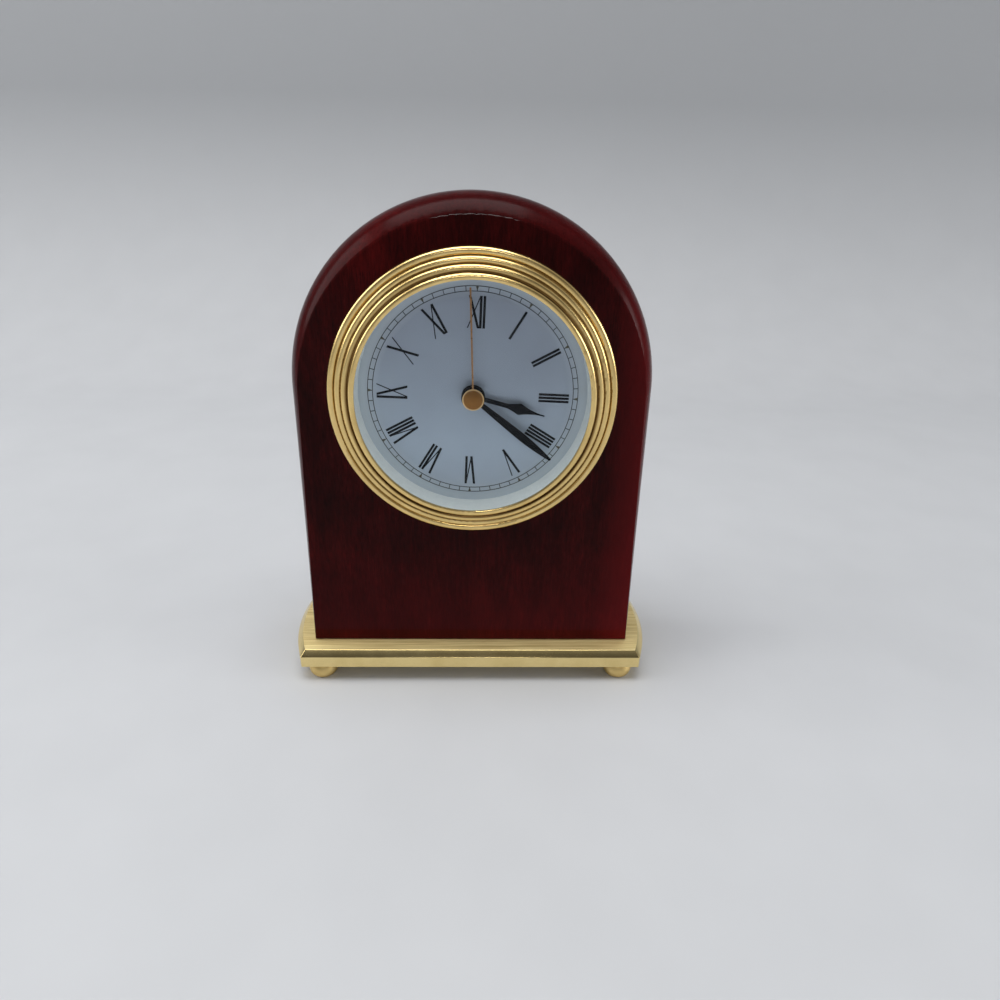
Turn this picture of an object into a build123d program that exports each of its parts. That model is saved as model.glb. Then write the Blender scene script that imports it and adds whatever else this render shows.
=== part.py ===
from build123d import *
import math
import os

# Arched wooden desk clock on a brass base plate, with a round quartz insert.
# Origin: middle of the footprint on the desk. +Z is up, the dial faces -Y, +X is the viewer's right.

# Wooden case
CASE_WIDTH = 102.0
CASE_DEPTH = 32.0
CASE_SHOULDER = 81.8  # height of the straight sides, up to the arch's centre
CASE_EDGE_DEPTH = 9.0  # rounded edge along Y, and its width at the top, the shoulders and the bottom
CASE_EDGE_TOP = 5.6
CASE_EDGE_SIDE = 3.0
CASE_EDGE_BOTTOM = 1.2
CASE_EDGE_STEPS = 6
CASE_EDGE_START = math.radians(28.0)  # angle of the edge's quarter round at which the flat face cuts it off
CASE_RIM_END = math.radians(30.0)  # angle at which the small round between the two ends
CASE_RIM_STEPS = 4
CASE_BOTTOM_BEVEL = 0.5
CLOCK_DROP = 1.9  # clock centre below the arch's centre

# Base plate, feet and base screws
BASE_SIDE_MARGIN = 2.2
BASE_FRONT_MARGIN = 7.3
BASE_END_BOW = 4.5
BASE_THICKNESS = 5.3
BASE_BEVEL = 1.7
FOOT_DIAMETER = 9.0
FOOT_HEIGHT = 5.5
FOOT_PAD_DIAMETER = 6.0
FOOT_FRONT_MARGIN = 0.5
FOOT_SIDE_MARGIN = 1.3
FOOT_STUD_DIAMETER = 3.0
FOOT_STUD_LENGTH = 3.2
BASE_SCREW_SPACING = 60.0
BASE_SCREW_DIAMETER = 3.5
BASE_SCREW_HEAD_DIAMETER = 7.0
BASE_SCREW_HEAD_HEIGHT = 2.0
BASE_SCREW_LENGTH = 19.0
SCREW_SLOT_WIDTH = 0.8
SCREW_SLOT_DEPTH = 0.6

# Insert: cup, friction band, bezel, lens, reflector ring and dial
INSERT_RADIUS = 33.4  # inside of the cup
CUP_WALL = 1.2
CUP_FLANGE_THICKNESS = 1.0
CUP_LIP_WIDTH = 2.9
CUP_LIP_THICKNESS = 1.0
BAND_THICKNESS = 0.9
BAND_WIDTH = 6.0
BAND_SETBACK = 6.0
FLANGE_OVERLAP = 1.5  # flange beyond the bore in the wood
BEZEL_SKIRT = 3.0  # bezel beyond the flange
BEZEL_HEIGHT = 5.0
LIP_OVERLAP = 1.3  # bezel's inner lip in front of the lens and the ring
LIP_THICKNESS = 0.8
LENS_THICKNESS = 1.0
LENS_INSET = 0.4
RING_FRONT_WALL = 0.5
RING_DIAL_WALL = 1.1
DIAL_SETBACK = 4.1  # dial's face behind the front of the wood
DIAL_THICKNESS = 0.5
DIAL_HOLE_DIAMETER = 5.2

# Bezel profile from its outer edge to its inner edge, as shares of its width and of its height
BEZEL_GROOVE_SHARE = 0.16
OUTER_BEAD_SHARES = ((0.0, 0.19), (0.12, 0.42), (0.25, 0.36))
SECOND_BAND_SHARES = ((0.285, 0.42), (0.385, 0.61), (0.49, 0.58))
THIRD_BEAD_SHARES = ((0.53, 0.60), (0.635, 0.83), (0.735, 0.80))
INNER_LIP_SHARES = ((0.79, 0.86), (0.915, 1.0), (1.0, 0.96))

# Hands, and the times that they show: degrees clockwise from twelve
HAND_THICKNESS = 0.4
HOUR_HAND_HEIGHT = 1.8  # back of the hand above the dial
MINUTE_HAND_HEIGHT = 3.5
SECOND_HAND_HEIGHT = 5.0
HAND_HUB_DIAMETER = 6.6
HOUR_HAND_MARGIN = 11.4  # tip to the reflector ring
HOUR_HAND_SHAFT_WIDTH = 1.25
HOUR_HAND_BULB_WIDTH = 3.4
HOUR_HAND_TIP_WIDTH = 0.3
HOUR_BULB_SHARES = (0.48, 0.58, 0.65)  # bulb's start, swell and widest place along the hand
HOUR_POINT_SHARE = 0.80
HOUR_HOLLOW_SHARE = 0.33
MINUTE_HAND_MARGIN = 3.6
MINUTE_HAND_ROOT_WIDTH = 1.05
MINUTE_HAND_LEAF_WIDTH = 2.3
MINUTE_HAND_TIP_WIDTH = 0.6
MINUTE_LEAF_SHARES = (0.33, 0.57, 0.80)
LEAF_SWELL_SHARE = 0.82
SECOND_HAND_MARGIN = 2.5
SECOND_HAND_WIDTH = 0.5
SECOND_HAND_HUB_DIAMETER = 3.2
CAP_DIAMETER = 6.0
CAP_HEIGHT = 0.7
CAP_EDGE_HEIGHT = 0.3
HOUR_HAND_DEGREES = 105.0
MINUTE_HAND_DEGREES = 128.9
SECOND_HAND_DEGREES = 358.3

# Movement: front plate, train plate and rear case
FRONT_PLATE_THICKNESS = 1.6
LAYER_THICKNESS = 1.0  # one wheel
LAYER_GAP = 0.6
FIRST_LAYER_GAP = 0.8
TRAIN_PLATE_THICKNESS = 1.2
TRAIN_PLATE_LEFT = 21.0
TRAIN_PLATE_RIGHT = 24.2
TRAIN_PLATE_TOP = 15.4
TRAIN_PLATE_BOTTOM = 9.0
TRAIN_PLATE_CORNER = 2.0
PILLAR_DIAMETER = 3.6
PILLAR_STUD_DIAMETER = 1.8
PILLAR_PLACES = ((-18.5, 10.5), (-17.5, -6.0), (22.0, 5.5), (18.5, -6.0))
REAR_CASE_DEPTH = 28.5  # back of the rear case behind the front of the wood
REAR_CASE_WALL = 1.6
REAR_CASE_BACK = 2.0
POST_DIAMETER = 5.2
POST_WALL_GAP = 1.2  # between a post and the rear case's wall
TOP_POST_DEGREES = 90.0
LEFT_POST_DEGREES = 205.0
RIGHT_POST_DEGREES = 335.0
MOVEMENT_SCREW_DIAMETER = 2.2
MOVEMENT_SCREW_HEAD_DIAMETER = 4.0
MOVEMENT_SCREW_HEAD_HEIGHT = 1.2
MOVEMENT_SCREW_BITE = 1.2  # depth in the front plate

# Gear train: teeth, modules and directions of the arbors from the centre
TRAIN_MODULE = 0.25
SECONDS_MODULE = 0.33
ROTOR_MODULE = 0.25
MOTION_MODULE = 0.25
PINION_TEETH = 8
SECONDS_WHEEL_TEETH = 48
INTERMEDIATE_WHEEL_TEETH = 40
THIRD_WHEEL_TEETH = 60
CENTRE_WHEEL_TEETH = 64
CANNON_TEETH = 12
MOTION_WHEEL_TEETH = 36
MOTION_PINION_TEETH = 10
HOUR_WHEEL_TEETH = 40
THIRD_DEGREES = 150.0
INTERMEDIATE_DEGREES = 50.0
ROTOR_DEGREES = 60.0
MOTION_DEGREES = -30.0
PRESSURE_ANGLE = math.radians(20.0)
ADDENDUM_SHARE = 0.75
DEDENDUM_SHARE = 1.05
TOOTH_SHARE = 0.40
FLANK_SHARES = (0.0, 0.5, 1.0)
ARBOR_DIAMETER = 1.2
ROTOR_ARBOR_DIAMETER = 1.0
PIVOT_DIAMETER = 0.8
PIVOT_LENGTH = 0.8
SECONDS_ARBOR_DIAMETER = 1.0
MINUTE_PIPE_DIAMETER = 2.4
MINUTE_PIPE_FLANGE_DIAMETER = 3.8
MINUTE_PIPE_FLANGE_THICKNESS = 0.2
HOUR_PIPE_DIAMETER = 4.0
HOUR_HUB_DIAMETER = 6.0
CENTRE_HUB_DIAMETER = 4.0
PINION_OVERRUN = 0.2  # pinion beyond the wheel that it drives
RUNNING_GAP = 0.05
MAGNET_DIAMETER = 3.0
MAGNET_LENGTH = 2.0

# Stepping motor
STATOR_THICKNESS = 0.8
STATOR_HOLE_DIAMETER = 3.6
STATOR_LEFT = 9.5
STATOR_RIGHT = 17.5
STATOR_BOTTOM = 9.0
STATOR_BRIDGE_HEIGHT = 6.5
STATOR_ARM_WIDTH = 2.8
STATOR_NOTCH_DIAMETER = 4.0
STATOR_POST_DIAMETER = 2.4
CORE_THICKNESS = 0.8
CORE_WIDTH = 3.0
COIL_STATOR_GAP = 0.7  # between the bobbin and the stator's bridge
COIL_GAP = 0.2
BOBBIN_TUBE_DIAMETER = 4.2
BOBBIN_FLANGE_DIAMETER = 6.4
BOBBIN_FLANGE_THICKNESS = 0.8
WINDING_DIAMETER = 5.8

# Circuit board
BOARD_LEFT = 20.0
BOARD_RIGHT = -1.5
BOARD_TOP = 12.5
BOARD_BOTTOM = -7.5
BOARD_THICKNESS = 0.8
CHIP_SIDE = 5.0
CHIP_HEIGHT = 1.2
CHIP_PLACE = (-12.0, 3.0)
CRYSTAL_DIAMETER = 2.0
CRYSTAL_LENGTH = 6.0
CRYSTAL_PLACE = (-5.5, 4.0)
CRYSTAL_SADDLE_WIDTH = 1.2

# Battery, its compartment, contacts and door
BATTERY_DIAMETER = 12.0
BATTERY_LENGTH = 30.2
BATTERY_NUB_DIAMETER = 4.4
BATTERY_NUB_LENGTH = 0.8
BATTERY_DROP = 18.5  # battery's axis below the clock's centre
BATTERY_BACK_GAP = 0.9
TRAY_GAP = 0.2
TRAY_WALL = 1.0
CONTACT_ROOM = 2.5
CONTACT_THICKNESS = 0.4
CONTACT_SIDE = 8.0
CONTACT_DIMPLE_DIAMETER = 3.2
SPRING_WIDE_DIAMETER = 7.0
SPRING_NARROW_DIAMETER = 4.4
DOOR_SIDE_MARGIN = 1.2  # tray's inside beyond the door's opening at each end
DOOR_GAP = 0.15
DOOR_THICKNESS = 1.6
DOOR_PIN_DIAMETER = 0.9
DOOR_PIN_LENGTH = 0.8
DOOR_LEDGE_WIDTH = 0.9
DOOR_LEDGE_LENGTH = 3.0
DOOR_NOTCH_LENGTH = 9.0
DOOR_NOTCH_DEPTH = 0.5
DOOR_NOTCH_MARGIN = 1.4
DOOR_NOTCH_WIDTH = 1.6

# Setting arbor and knob
SETTING_ARBOR_DIAMETER = 2.0
KNOB_DIAMETER = 9.0
KNOB_THICKNESS = 2.3
KNOB_GAP = 0.2
KNOB_FLUTES = 24
KNOB_FLUTE_DIAMETER = 0.8

# Cuts run past the faces that they open by this much
OVERRUN = 1.0

# Places worked out from the sizes, from the desk up
CASE_BOTTOM = FOOT_HEIGHT + BASE_THICKNESS
CLOCK_CENTRE = CASE_BOTTOM + CASE_SHOULDER - CLOCK_DROP
BASE_HALF_LENGTH = CASE_WIDTH / 2 + BASE_SIDE_MARGIN
BASE_HALF_DEPTH = CASE_DEPTH / 2 + BASE_FRONT_MARGIN

# Insert radii, and depths along the insert's axis: zero at the front of the wood, plus to the viewer
CUP_RADIUS = INSERT_RADIUS + CUP_WALL
BORE_RADIUS = CUP_RADIUS + BAND_THICKNESS
FLANGE_RADIUS = BORE_RADIUS + FLANGE_OVERLAP
BEZEL_RADIUS = FLANGE_RADIUS + BEZEL_SKIRT
LIP_RADIUS = INSERT_RADIUS - LIP_OVERLAP
BEZEL_WIDTH = BEZEL_RADIUS - LIP_RADIUS
LENS_RADIUS = INSERT_RADIUS - LENS_INSET
LENS_FRONT = BEZEL_HEIGHT - LIP_THICKNESS
LENS_BACK = LENS_FRONT - LENS_THICKNESS
DIAL_RADIUS = INSERT_RADIUS - RING_DIAL_WALL
HOUR_HAND_LENGTH = DIAL_RADIUS - HOUR_HAND_MARGIN
MINUTE_HAND_LENGTH = DIAL_RADIUS - MINUTE_HAND_MARGIN
SECOND_HAND_LENGTH = DIAL_RADIUS - SECOND_HAND_MARGIN
DIAL_FRONT = -DIAL_SETBACK
DIAL_BACK = DIAL_FRONT - DIAL_THICKNESS
PLATE_BACK = DIAL_BACK - FRONT_PLATE_THICKNESS
LAYER_STEP = LAYER_THICKNESS + LAYER_GAP
LAYER_FRONTS = [PLATE_BACK - FIRST_LAYER_GAP - LAYER_STEP * layer for layer in range(6)]
LAYER_BACKS = [front - LAYER_THICKNESS for front in LAYER_FRONTS]
HOUR_LAYER, MOTION_LAYER, CENTRE_LAYER, THIRD_LAYER, SECONDS_LAYER, INTERMEDIATE_LAYER = range(6)
TRAIN_FRONT = LAYER_BACKS[INTERMEDIATE_LAYER] - LAYER_GAP
TRAIN_BACK = TRAIN_FRONT - TRAIN_PLATE_THICKNESS
REAR_BACK = -REAR_CASE_DEPTH
REAR_FRONT = REAR_BACK + REAR_CASE_BACK
CUP_BACK = REAR_BACK - CUP_LIP_THICKNESS
BOARD_BACK = TRAIN_BACK - BOARD_THICKNESS

# Gear centres
THIRD_MODULE = TRAIN_MODULE * (PINION_TEETH + CENTRE_WHEEL_TEETH) / (PINION_TEETH + THIRD_WHEEL_TEETH)
HOUR_MODULE = MOTION_MODULE * (CANNON_TEETH + MOTION_WHEEL_TEETH) / (MOTION_PINION_TEETH + HOUR_WHEEL_TEETH)


def spot(distance, degrees, start=(0.0, 0.0)):
    """Place at a distance and a direction from another place."""
    angle = math.radians(degrees)
    return (start[0] + distance * math.cos(angle), start[1] + distance * math.sin(angle))


def spacing(teeth, other_teeth, module):
    """Distance between the axes of two gears that mesh."""
    return module * (teeth + other_teeth) / 2


AXIS = (0.0, 0.0)
THIRD = spot(spacing(PINION_TEETH, CENTRE_WHEEL_TEETH, TRAIN_MODULE), THIRD_DEGREES)
INTERMEDIATE = spot(spacing(PINION_TEETH, SECONDS_WHEEL_TEETH, SECONDS_MODULE), INTERMEDIATE_DEGREES)
ROTOR = spot(spacing(PINION_TEETH, INTERMEDIATE_WHEEL_TEETH, ROTOR_MODULE), ROTOR_DEGREES, INTERMEDIATE)
MOTION = spot(spacing(CANNON_TEETH, MOTION_WHEEL_TEETH, MOTION_MODULE), MOTION_DEGREES)
SETTING = spot(spacing(CANNON_TEETH, MOTION_WHEEL_TEETH, MOTION_MODULE), MOTION_DEGREES, MOTION)

# Motor and battery places
STATOR_FRONT = (LAYER_BACKS[THIRD_LAYER] + LAYER_FRONTS[SECONDS_LAYER]) / 2
STATOR_BACK = STATOR_FRONT - STATOR_THICKNESS
CORE_BACK = STATOR_BACK - CORE_THICKNESS
COIL_RISE = STATOR_BOTTOM + STATOR_BRIDGE_HEIGHT + COIL_STATOR_GAP + BOBBIN_FLANGE_DIAMETER / 2
COIL_DEPTH = (STATOR_BACK + CORE_BACK) / 2
BOBBIN_LEFT = -STATOR_LEFT + STATOR_ARM_WIDTH + COIL_GAP
BOBBIN_RIGHT = STATOR_RIGHT - STATOR_ARM_WIDTH - COIL_GAP
BATTERY_DEPTH = REAR_FRONT + BATTERY_BACK_GAP + BATTERY_DIAMETER / 2
TRAY_TOP = -BATTERY_DROP + BATTERY_DIAMETER / 2 + TRAY_GAP
TRAY_BOTTOM = -BATTERY_DROP - BATTERY_DIAMETER / 2 - TRAY_GAP
TRAY_FLOOR = BATTERY_DEPTH + BATTERY_DIAMETER / 2
TRAY_HALF_LENGTH = BATTERY_LENGTH / 2 + CONTACT_ROOM
OPENING_HALF_LENGTH = TRAY_HALF_LENGTH - DOOR_SIDE_MARGIN
DOOR_HALF_LENGTH = OPENING_HALF_LENGTH - DOOR_GAP
DOOR_FRONT = REAR_BACK + DOOR_THICKNESS
DOOR_TOP = TRAY_TOP - DOOR_GAP
HINGE_RISE = TRAY_BOTTOM + DOOR_GAP + DOOR_THICKNESS / 2
HINGE_DEPTH = REAR_BACK + DOOR_THICKNESS / 2


def seat(shape):
    """Move a shape from the insert's own axis to its place in the case."""
    return Location((0, -CASE_DEPTH / 2, CLOCK_CENTRE), (90, 0, 0)) * shape


def rod(diameter, back, front, place=AXIS):
    """Cylinder along the axis, between two depths."""
    solid = Cylinder(diameter / 2, front - back, align=(Align.CENTER, Align.CENTER, Align.MIN))
    return Pos(place[0], place[1], back) * solid


def bar(diameter, left, right, rise, depth):
    """Cylinder across the clock, between two places on X."""
    solid = Cylinder(diameter / 2, right - left, align=(Align.CENTER, Align.CENTER, Align.MIN))
    return Location((left, rise, depth), (0, 90, 0)) * solid


def block(left, right, bottom, top, back, front):
    """Box between two places on each axis."""
    solid = Box(right - left, top - bottom, front - back, align=(Align.MIN, Align.MIN, Align.MIN))
    return Pos(left, bottom, back) * solid


def turned(edges):
    """Solid turned about the axis from a closed profile of radius and depth."""
    return revolve(Plane.XZ * make_face(edges), Axis.Z)


def closed(points):
    """Edges of a closed outline of straight lines."""
    return Polyline(*points, close=True).edges()


def mirrored_blade(right_edges, tip_width, root_width, length):
    """Hand blade that points up, from the edges of its right side."""
    left_edges = [mirror(edge, Plane.YZ) for edge in right_edges]
    tip = Line((tip_width / 2, length), (-tip_width / 2, length))
    root = Line((-root_width / 2, 0), (root_width / 2, 0))
    return make_face([*right_edges, tip, *left_edges, root])


def meshed(teeth, turn, other_teeth, degrees):
    """Turn, in radians, of a second gear that meshes with a first one in the given direction."""
    direction = math.radians(degrees)
    return direction + math.pi - math.pi / other_teeth + (direction - turn) * teeth / other_teeth


def gear(teeth, module, turn, back, front, place=AXIS):
    """Spur gear with involute flanks, between two depths."""
    pitch = teeth * module / 2
    base = pitch * math.cos(PRESSURE_ANGLE)
    tip = pitch + ADDENDUM_SHARE * module
    root = pitch - DEDENDUM_SHARE * module
    start = max(root, base)
    radii = [start + (tip - start) * share for share in FLANK_SHARES]
    if root < base:
        radii = [root] + radii
    involute = math.tan(PRESSURE_ANGLE) - PRESSURE_ANGLE

    def half_angle(radius):
        slope = math.acos(min(1.0, base / max(radius, base)))
        return math.pi * TOOTH_SHARE / teeth + involute - math.tan(slope) + slope

    flank = [(radius, -half_angle(radius)) for radius in radii]
    flank += [(radius, half_angle(radius)) for radius in reversed(radii)]
    points = []
    for tooth in range(teeth):
        middle = turn + 2 * math.pi * tooth / teeth
        for radius, angle in flank:
            points.append((radius * math.cos(middle + angle), radius * math.sin(middle + angle)))
    outline = make_face(closed(points))
    return Pos(place[0], place[1], back) * extrude(outline, front - back)


def arbor(diameter, place):
    """Arbor between the front plate and the train plate, with a pivot at each end."""
    shaft = rod(diameter, TRAIN_FRONT + RUNNING_GAP, PLATE_BACK - RUNNING_GAP, place)
    pivots = rod(PIVOT_DIAMETER, TRAIN_FRONT - PIVOT_LENGTH, PLATE_BACK + PIVOT_LENGTH, place)
    return shaft + pivots


def screw(diameter, head_diameter, head_height, length):
    """Slotted screw whose head faces down, with the top of its head at zero."""
    solid = Cylinder(diameter / 2, length, align=(Align.CENTER, Align.CENTER, Align.MIN))
    solid += Cylinder(head_diameter / 2, head_height, align=(Align.CENTER, Align.CENTER, Align.MIN))
    slot = Box(head_diameter + OVERRUN, SCREW_SLOT_WIDTH, SCREW_SLOT_DEPTH * 2)
    return solid - slot


# Case and base

def case_section(inset_share, depth):
    """Arched outline of the case at a depth behind its front, drawn in by a share of the edge's width."""
    bottom = CASE_WIDTH / 2 - CASE_EDGE_BOTTOM * inset_share
    side = CASE_WIDTH / 2 - CASE_EDGE_SIDE * inset_share
    top = CASE_SHOULDER + CASE_WIDTH / 2 - CASE_EDGE_TOP * inset_share
    outline = make_face([
        Line((-bottom, 0), (bottom, 0)),
        Line((bottom, 0), (side, CASE_SHOULDER)),
        ThreePointArc((side, CASE_SHOULDER), (0, top), (-side, CASE_SHOULDER)),
        Line((-side, CASE_SHOULDER), (-bottom, 0)),
    ])
    return Plane.XZ.offset(CASE_DEPTH / 2 - depth) * outline


def edge_point(angle):
    """Inset share and depth of the case's rounded edge at an angle of its quarter round."""
    inset_share = (1 - math.sin(angle)) / (1 - math.sin(CASE_EDGE_START))
    depth = CASE_EDGE_DEPTH * (1 - math.cos(angle) / math.cos(CASE_EDGE_START))
    return inset_share, depth


def wood_case():
    """Arched block bored right through for the insert, with edges rounded most at the top."""
    rim = []
    end_share, end_depth = edge_point(CASE_RIM_END)
    for step in range(CASE_RIM_STEPS + 1):
        way = step / CASE_RIM_STEPS
        rim.append(case_section(1 + (1 - end_share) * (1 - 2 * way), end_depth * way ** 2))
    edge = []
    for step in range(CASE_EDGE_STEPS + 1):
        angle = CASE_RIM_END + (math.pi / 2 - CASE_RIM_END) * step / CASE_EDGE_STEPS
        edge.append(case_section(*edge_point(angle)))
    front = loft(rim) + loft(edge)
    middle = extrude(case_section(0, CASE_DEPTH / 2), CASE_DEPTH / 2 - CASE_EDGE_DEPTH, both=True)
    solid = front + middle + mirror(front, Plane.XZ)
    bevelled = Box(CASE_WIDTH, CASE_DEPTH, CASE_SHOULDER + CASE_WIDTH,
                   align=(Align.CENTER, Align.CENTER, Align.MIN))
    bevelled = chamfer(bevelled.faces().sort_by(Axis.Z)[0].edges(), CASE_BOTTOM_BEVEL)
    solid = Pos(0, 0, CASE_BOTTOM) * (solid & bevelled)
    solid -= seat(rod(BORE_RADIUS * 2, -CASE_DEPTH - OVERRUN, OVERRUN))
    for place in base_screw_places():
        solid -= place * Cylinder(BASE_SCREW_DIAMETER / 2, BASE_SCREW_LENGTH,
                                  align=(Align.CENTER, Align.CENTER, Align.MIN))
    return solid


def base_screw_places():
    """Places of the two screws at the underside of the base plate."""
    return [Pos(side * BASE_SCREW_SPACING / 2, 0, FOOT_HEIGHT) for side in (-1, 1)]


def foot_places():
    """Places of the four feet on the desk, by name."""
    across = BASE_HALF_LENGTH - FOOT_SIDE_MARGIN - FOOT_DIAMETER / 2
    along = BASE_HALF_DEPTH - FOOT_FRONT_MARGIN - FOOT_DIAMETER / 2
    ends = {"front": -along, "rear": along}
    sides = {"left": -across, "right": across}
    return {f"foot_{end}_{side}": Pos(sides[side], ends[end], 0) for end in ends for side in sides}


def base_plate():
    """Brass plate with straight front and back edges and bowed ends, bevelled round its top."""
    length = BASE_HALF_LENGTH
    depth = BASE_HALF_DEPTH
    outline = [
        Line((-length, -depth), (length, -depth)),
        ThreePointArc((length, -depth), (length + BASE_END_BOW, 0), (length, depth)),
        Line((length, depth), (-length, depth)),
        ThreePointArc((-length, depth), (-length - BASE_END_BOW, 0), (-length, -depth)),
    ]
    solid = extrude(make_face(outline), BASE_THICKNESS)
    solid = chamfer(solid.faces().sort_by(Axis.Z)[-1].edges(), BASE_BEVEL)
    solid = Pos(0, 0, FOOT_HEIGHT) * solid
    for place in base_screw_places():
        solid -= place * Cylinder(BASE_SCREW_DIAMETER / 2, BASE_THICKNESS,
                                  align=(Align.CENTER, Align.CENTER, Align.MIN))
        solid -= place * Cylinder(BASE_SCREW_HEAD_DIAMETER / 2, BASE_SCREW_HEAD_HEIGHT,
                                  align=(Align.CENTER, Align.CENTER, Align.MIN))
    for place in foot_places().values():
        solid -= place * rod(FOOT_STUD_DIAMETER, FOOT_HEIGHT, FOOT_HEIGHT + FOOT_STUD_LENGTH)
    return solid


def foot():
    """Bun foot with a flat pad below and a stud above."""
    pad = FOOT_PAD_DIAMETER / 2
    bun = turned([
        Line((0, 0), (pad, 0)),
        ThreePointArc((pad, 0), (FOOT_DIAMETER / 2, FOOT_HEIGHT / 2), (pad, FOOT_HEIGHT)),
        Line((pad, FOOT_HEIGHT), (0, FOOT_HEIGHT)),
        Line((0, FOOT_HEIGHT), (0, 0)),
    ])
    return bun + rod(FOOT_STUD_DIAMETER, FOOT_HEIGHT, FOOT_HEIGHT + FOOT_STUD_LENGTH)


# Insert

def bezel():
    """Stepped ring of beads and grooves that rises from the wood to the lens."""

    def point(shares):
        return (BEZEL_RADIUS - shares[0] * BEZEL_WIDTH, shares[1] * BEZEL_HEIGHT)

    edges = [Line((BEZEL_RADIUS, 0), point(OUTER_BEAD_SHARES[0]))]
    beads = (OUTER_BEAD_SHARES, SECOND_BAND_SHARES, THIRD_BEAD_SHARES, INNER_LIP_SHARES)
    for bead, next_bead in zip(beads, beads[1:] + (None,)):
        start, crown, end = (point(shares) for shares in bead)
        edges.append(ThreePointArc(start, crown, end))
        if next_bead is None:
            continue
        foot_of_next = point((next_bead[0][0], bead[2][1] - BEZEL_GROOVE_SHARE))
        foot_of_bead = point((bead[2][0], bead[2][1] - BEZEL_GROOVE_SHARE))
        edges.append(Line(end, foot_of_bead))
        edges.append(Line(foot_of_bead, foot_of_next))
        edges.append(Line(foot_of_next, point(next_bead[0])))
    inside = [
        point(INNER_LIP_SHARES[2]),
        (LIP_RADIUS, LENS_FRONT),
        (LENS_RADIUS, LENS_FRONT),
        (LENS_RADIUS, LENS_BACK),
        (INSERT_RADIUS, LENS_BACK),
        (INSERT_RADIUS, CUP_FLANGE_THICKNESS),
        (FLANGE_RADIUS, CUP_FLANGE_THICKNESS),
        (FLANGE_RADIUS, 0),
        (BEZEL_RADIUS, 0),
    ]
    edges += [Line(start, end) for start, end in zip(inside, inside[1:])]
    return turned(edges)


def lens():
    """Flat glass, held behind the bezel's inner lip."""
    return rod(LENS_RADIUS * 2, LENS_BACK, LENS_FRONT)


def reflector_ring():
    """White ring between the dial and the lens, a little wider at the lens."""
    return turned(closed([
        (INSERT_RADIUS, DIAL_FRONT),
        (INSERT_RADIUS, LENS_BACK),
        (INSERT_RADIUS - RING_FRONT_WALL, LENS_BACK),
        (DIAL_RADIUS, DIAL_FRONT),
    ]))


def dial():
    """Thin disc with a hole for the hands' pipes."""
    disc = rod(INSERT_RADIUS * 2, DIAL_BACK, DIAL_FRONT)
    return disc - rod(DIAL_HOLE_DIAMETER, DIAL_BACK - OVERRUN, DIAL_FRONT + OVERRUN)


def insert_cup():
    """Sleeve with a flange on the front of the wood and a lip behind the movement."""
    return turned(closed([
        (INSERT_RADIUS, CUP_FLANGE_THICKNESS),
        (FLANGE_RADIUS, CUP_FLANGE_THICKNESS),
        (FLANGE_RADIUS, 0),
        (CUP_RADIUS, 0),
        (CUP_RADIUS, CUP_BACK),
        (INSERT_RADIUS - CUP_LIP_WIDTH, CUP_BACK),
        (INSERT_RADIUS - CUP_LIP_WIDTH, REAR_BACK),
        (INSERT_RADIUS, REAR_BACK),
    ]))


def friction_band():
    """Rubber band that grips the bore in the wood."""
    band_back = -BAND_SETBACK - BAND_WIDTH
    band = rod(BORE_RADIUS * 2, band_back, -BAND_SETBACK)
    return band - rod(CUP_RADIUS * 2, band_back - OVERRUN, -BAND_SETBACK + OVERRUN)


# Hands

def hour_hand():
    """Spade hand: straight shaft, rounded bulb and a long hollow point."""
    shaft = HOUR_HAND_SHAFT_WIDTH / 2
    bulb = HOUR_HAND_BULB_WIDTH / 2
    tip = HOUR_HAND_TIP_WIDTH / 2
    start, swell, widest = (share * HOUR_HAND_LENGTH for share in HOUR_BULB_SHARES)
    point = HOUR_POINT_SHARE * HOUR_HAND_LENGTH
    edges = [
        Line((shaft, 0), (shaft, start)),
        ThreePointArc((shaft, start), ((shaft + bulb) / 2, swell), (bulb, widest)),
        ThreePointArc((bulb, widest), ((bulb + tip) * HOUR_HOLLOW_SHARE, point), (tip, HOUR_HAND_LENGTH)),
    ]
    blade = mirrored_blade(edges, HOUR_HAND_TIP_WIDTH, HOUR_HAND_SHAFT_WIDTH, HOUR_HAND_LENGTH)
    return finished_hand(blade, HAND_HUB_DIAMETER, HOUR_PIPE_DIAMETER, HOUR_HAND_HEIGHT, HOUR_HAND_DEGREES)


def minute_hand():
    """Leaf hand, widest past its middle."""
    root = MINUTE_HAND_ROOT_WIDTH / 2
    leaf = MINUTE_HAND_LEAF_WIDTH / 2
    tip = MINUTE_HAND_TIP_WIDTH / 2
    swell, widest, point = (share * MINUTE_HAND_LENGTH for share in MINUTE_LEAF_SHARES)
    edges = [
        ThreePointArc((root, 0), (leaf * LEAF_SWELL_SHARE, swell), (leaf, widest)),
        ThreePointArc((leaf, widest), (leaf * LEAF_SWELL_SHARE, point), (tip, MINUTE_HAND_LENGTH)),
    ]
    blade = mirrored_blade(edges, MINUTE_HAND_TIP_WIDTH, MINUTE_HAND_ROOT_WIDTH, MINUTE_HAND_LENGTH)
    return finished_hand(blade, HAND_HUB_DIAMETER, MINUTE_PIPE_DIAMETER, MINUTE_HAND_HEIGHT,
                         MINUTE_HAND_DEGREES)


def second_hand():
    """Thin straight hand with a round hub under its cap."""
    half = SECOND_HAND_WIDTH / 2
    edges = [Line((half, 0), (half, SECOND_HAND_LENGTH))]
    blade = mirrored_blade(edges, SECOND_HAND_WIDTH, SECOND_HAND_WIDTH, SECOND_HAND_LENGTH)
    return finished_hand(blade, SECOND_HAND_HUB_DIAMETER, SECONDS_ARBOR_DIAMETER, SECOND_HAND_HEIGHT,
                         SECOND_HAND_DEGREES)


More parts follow.
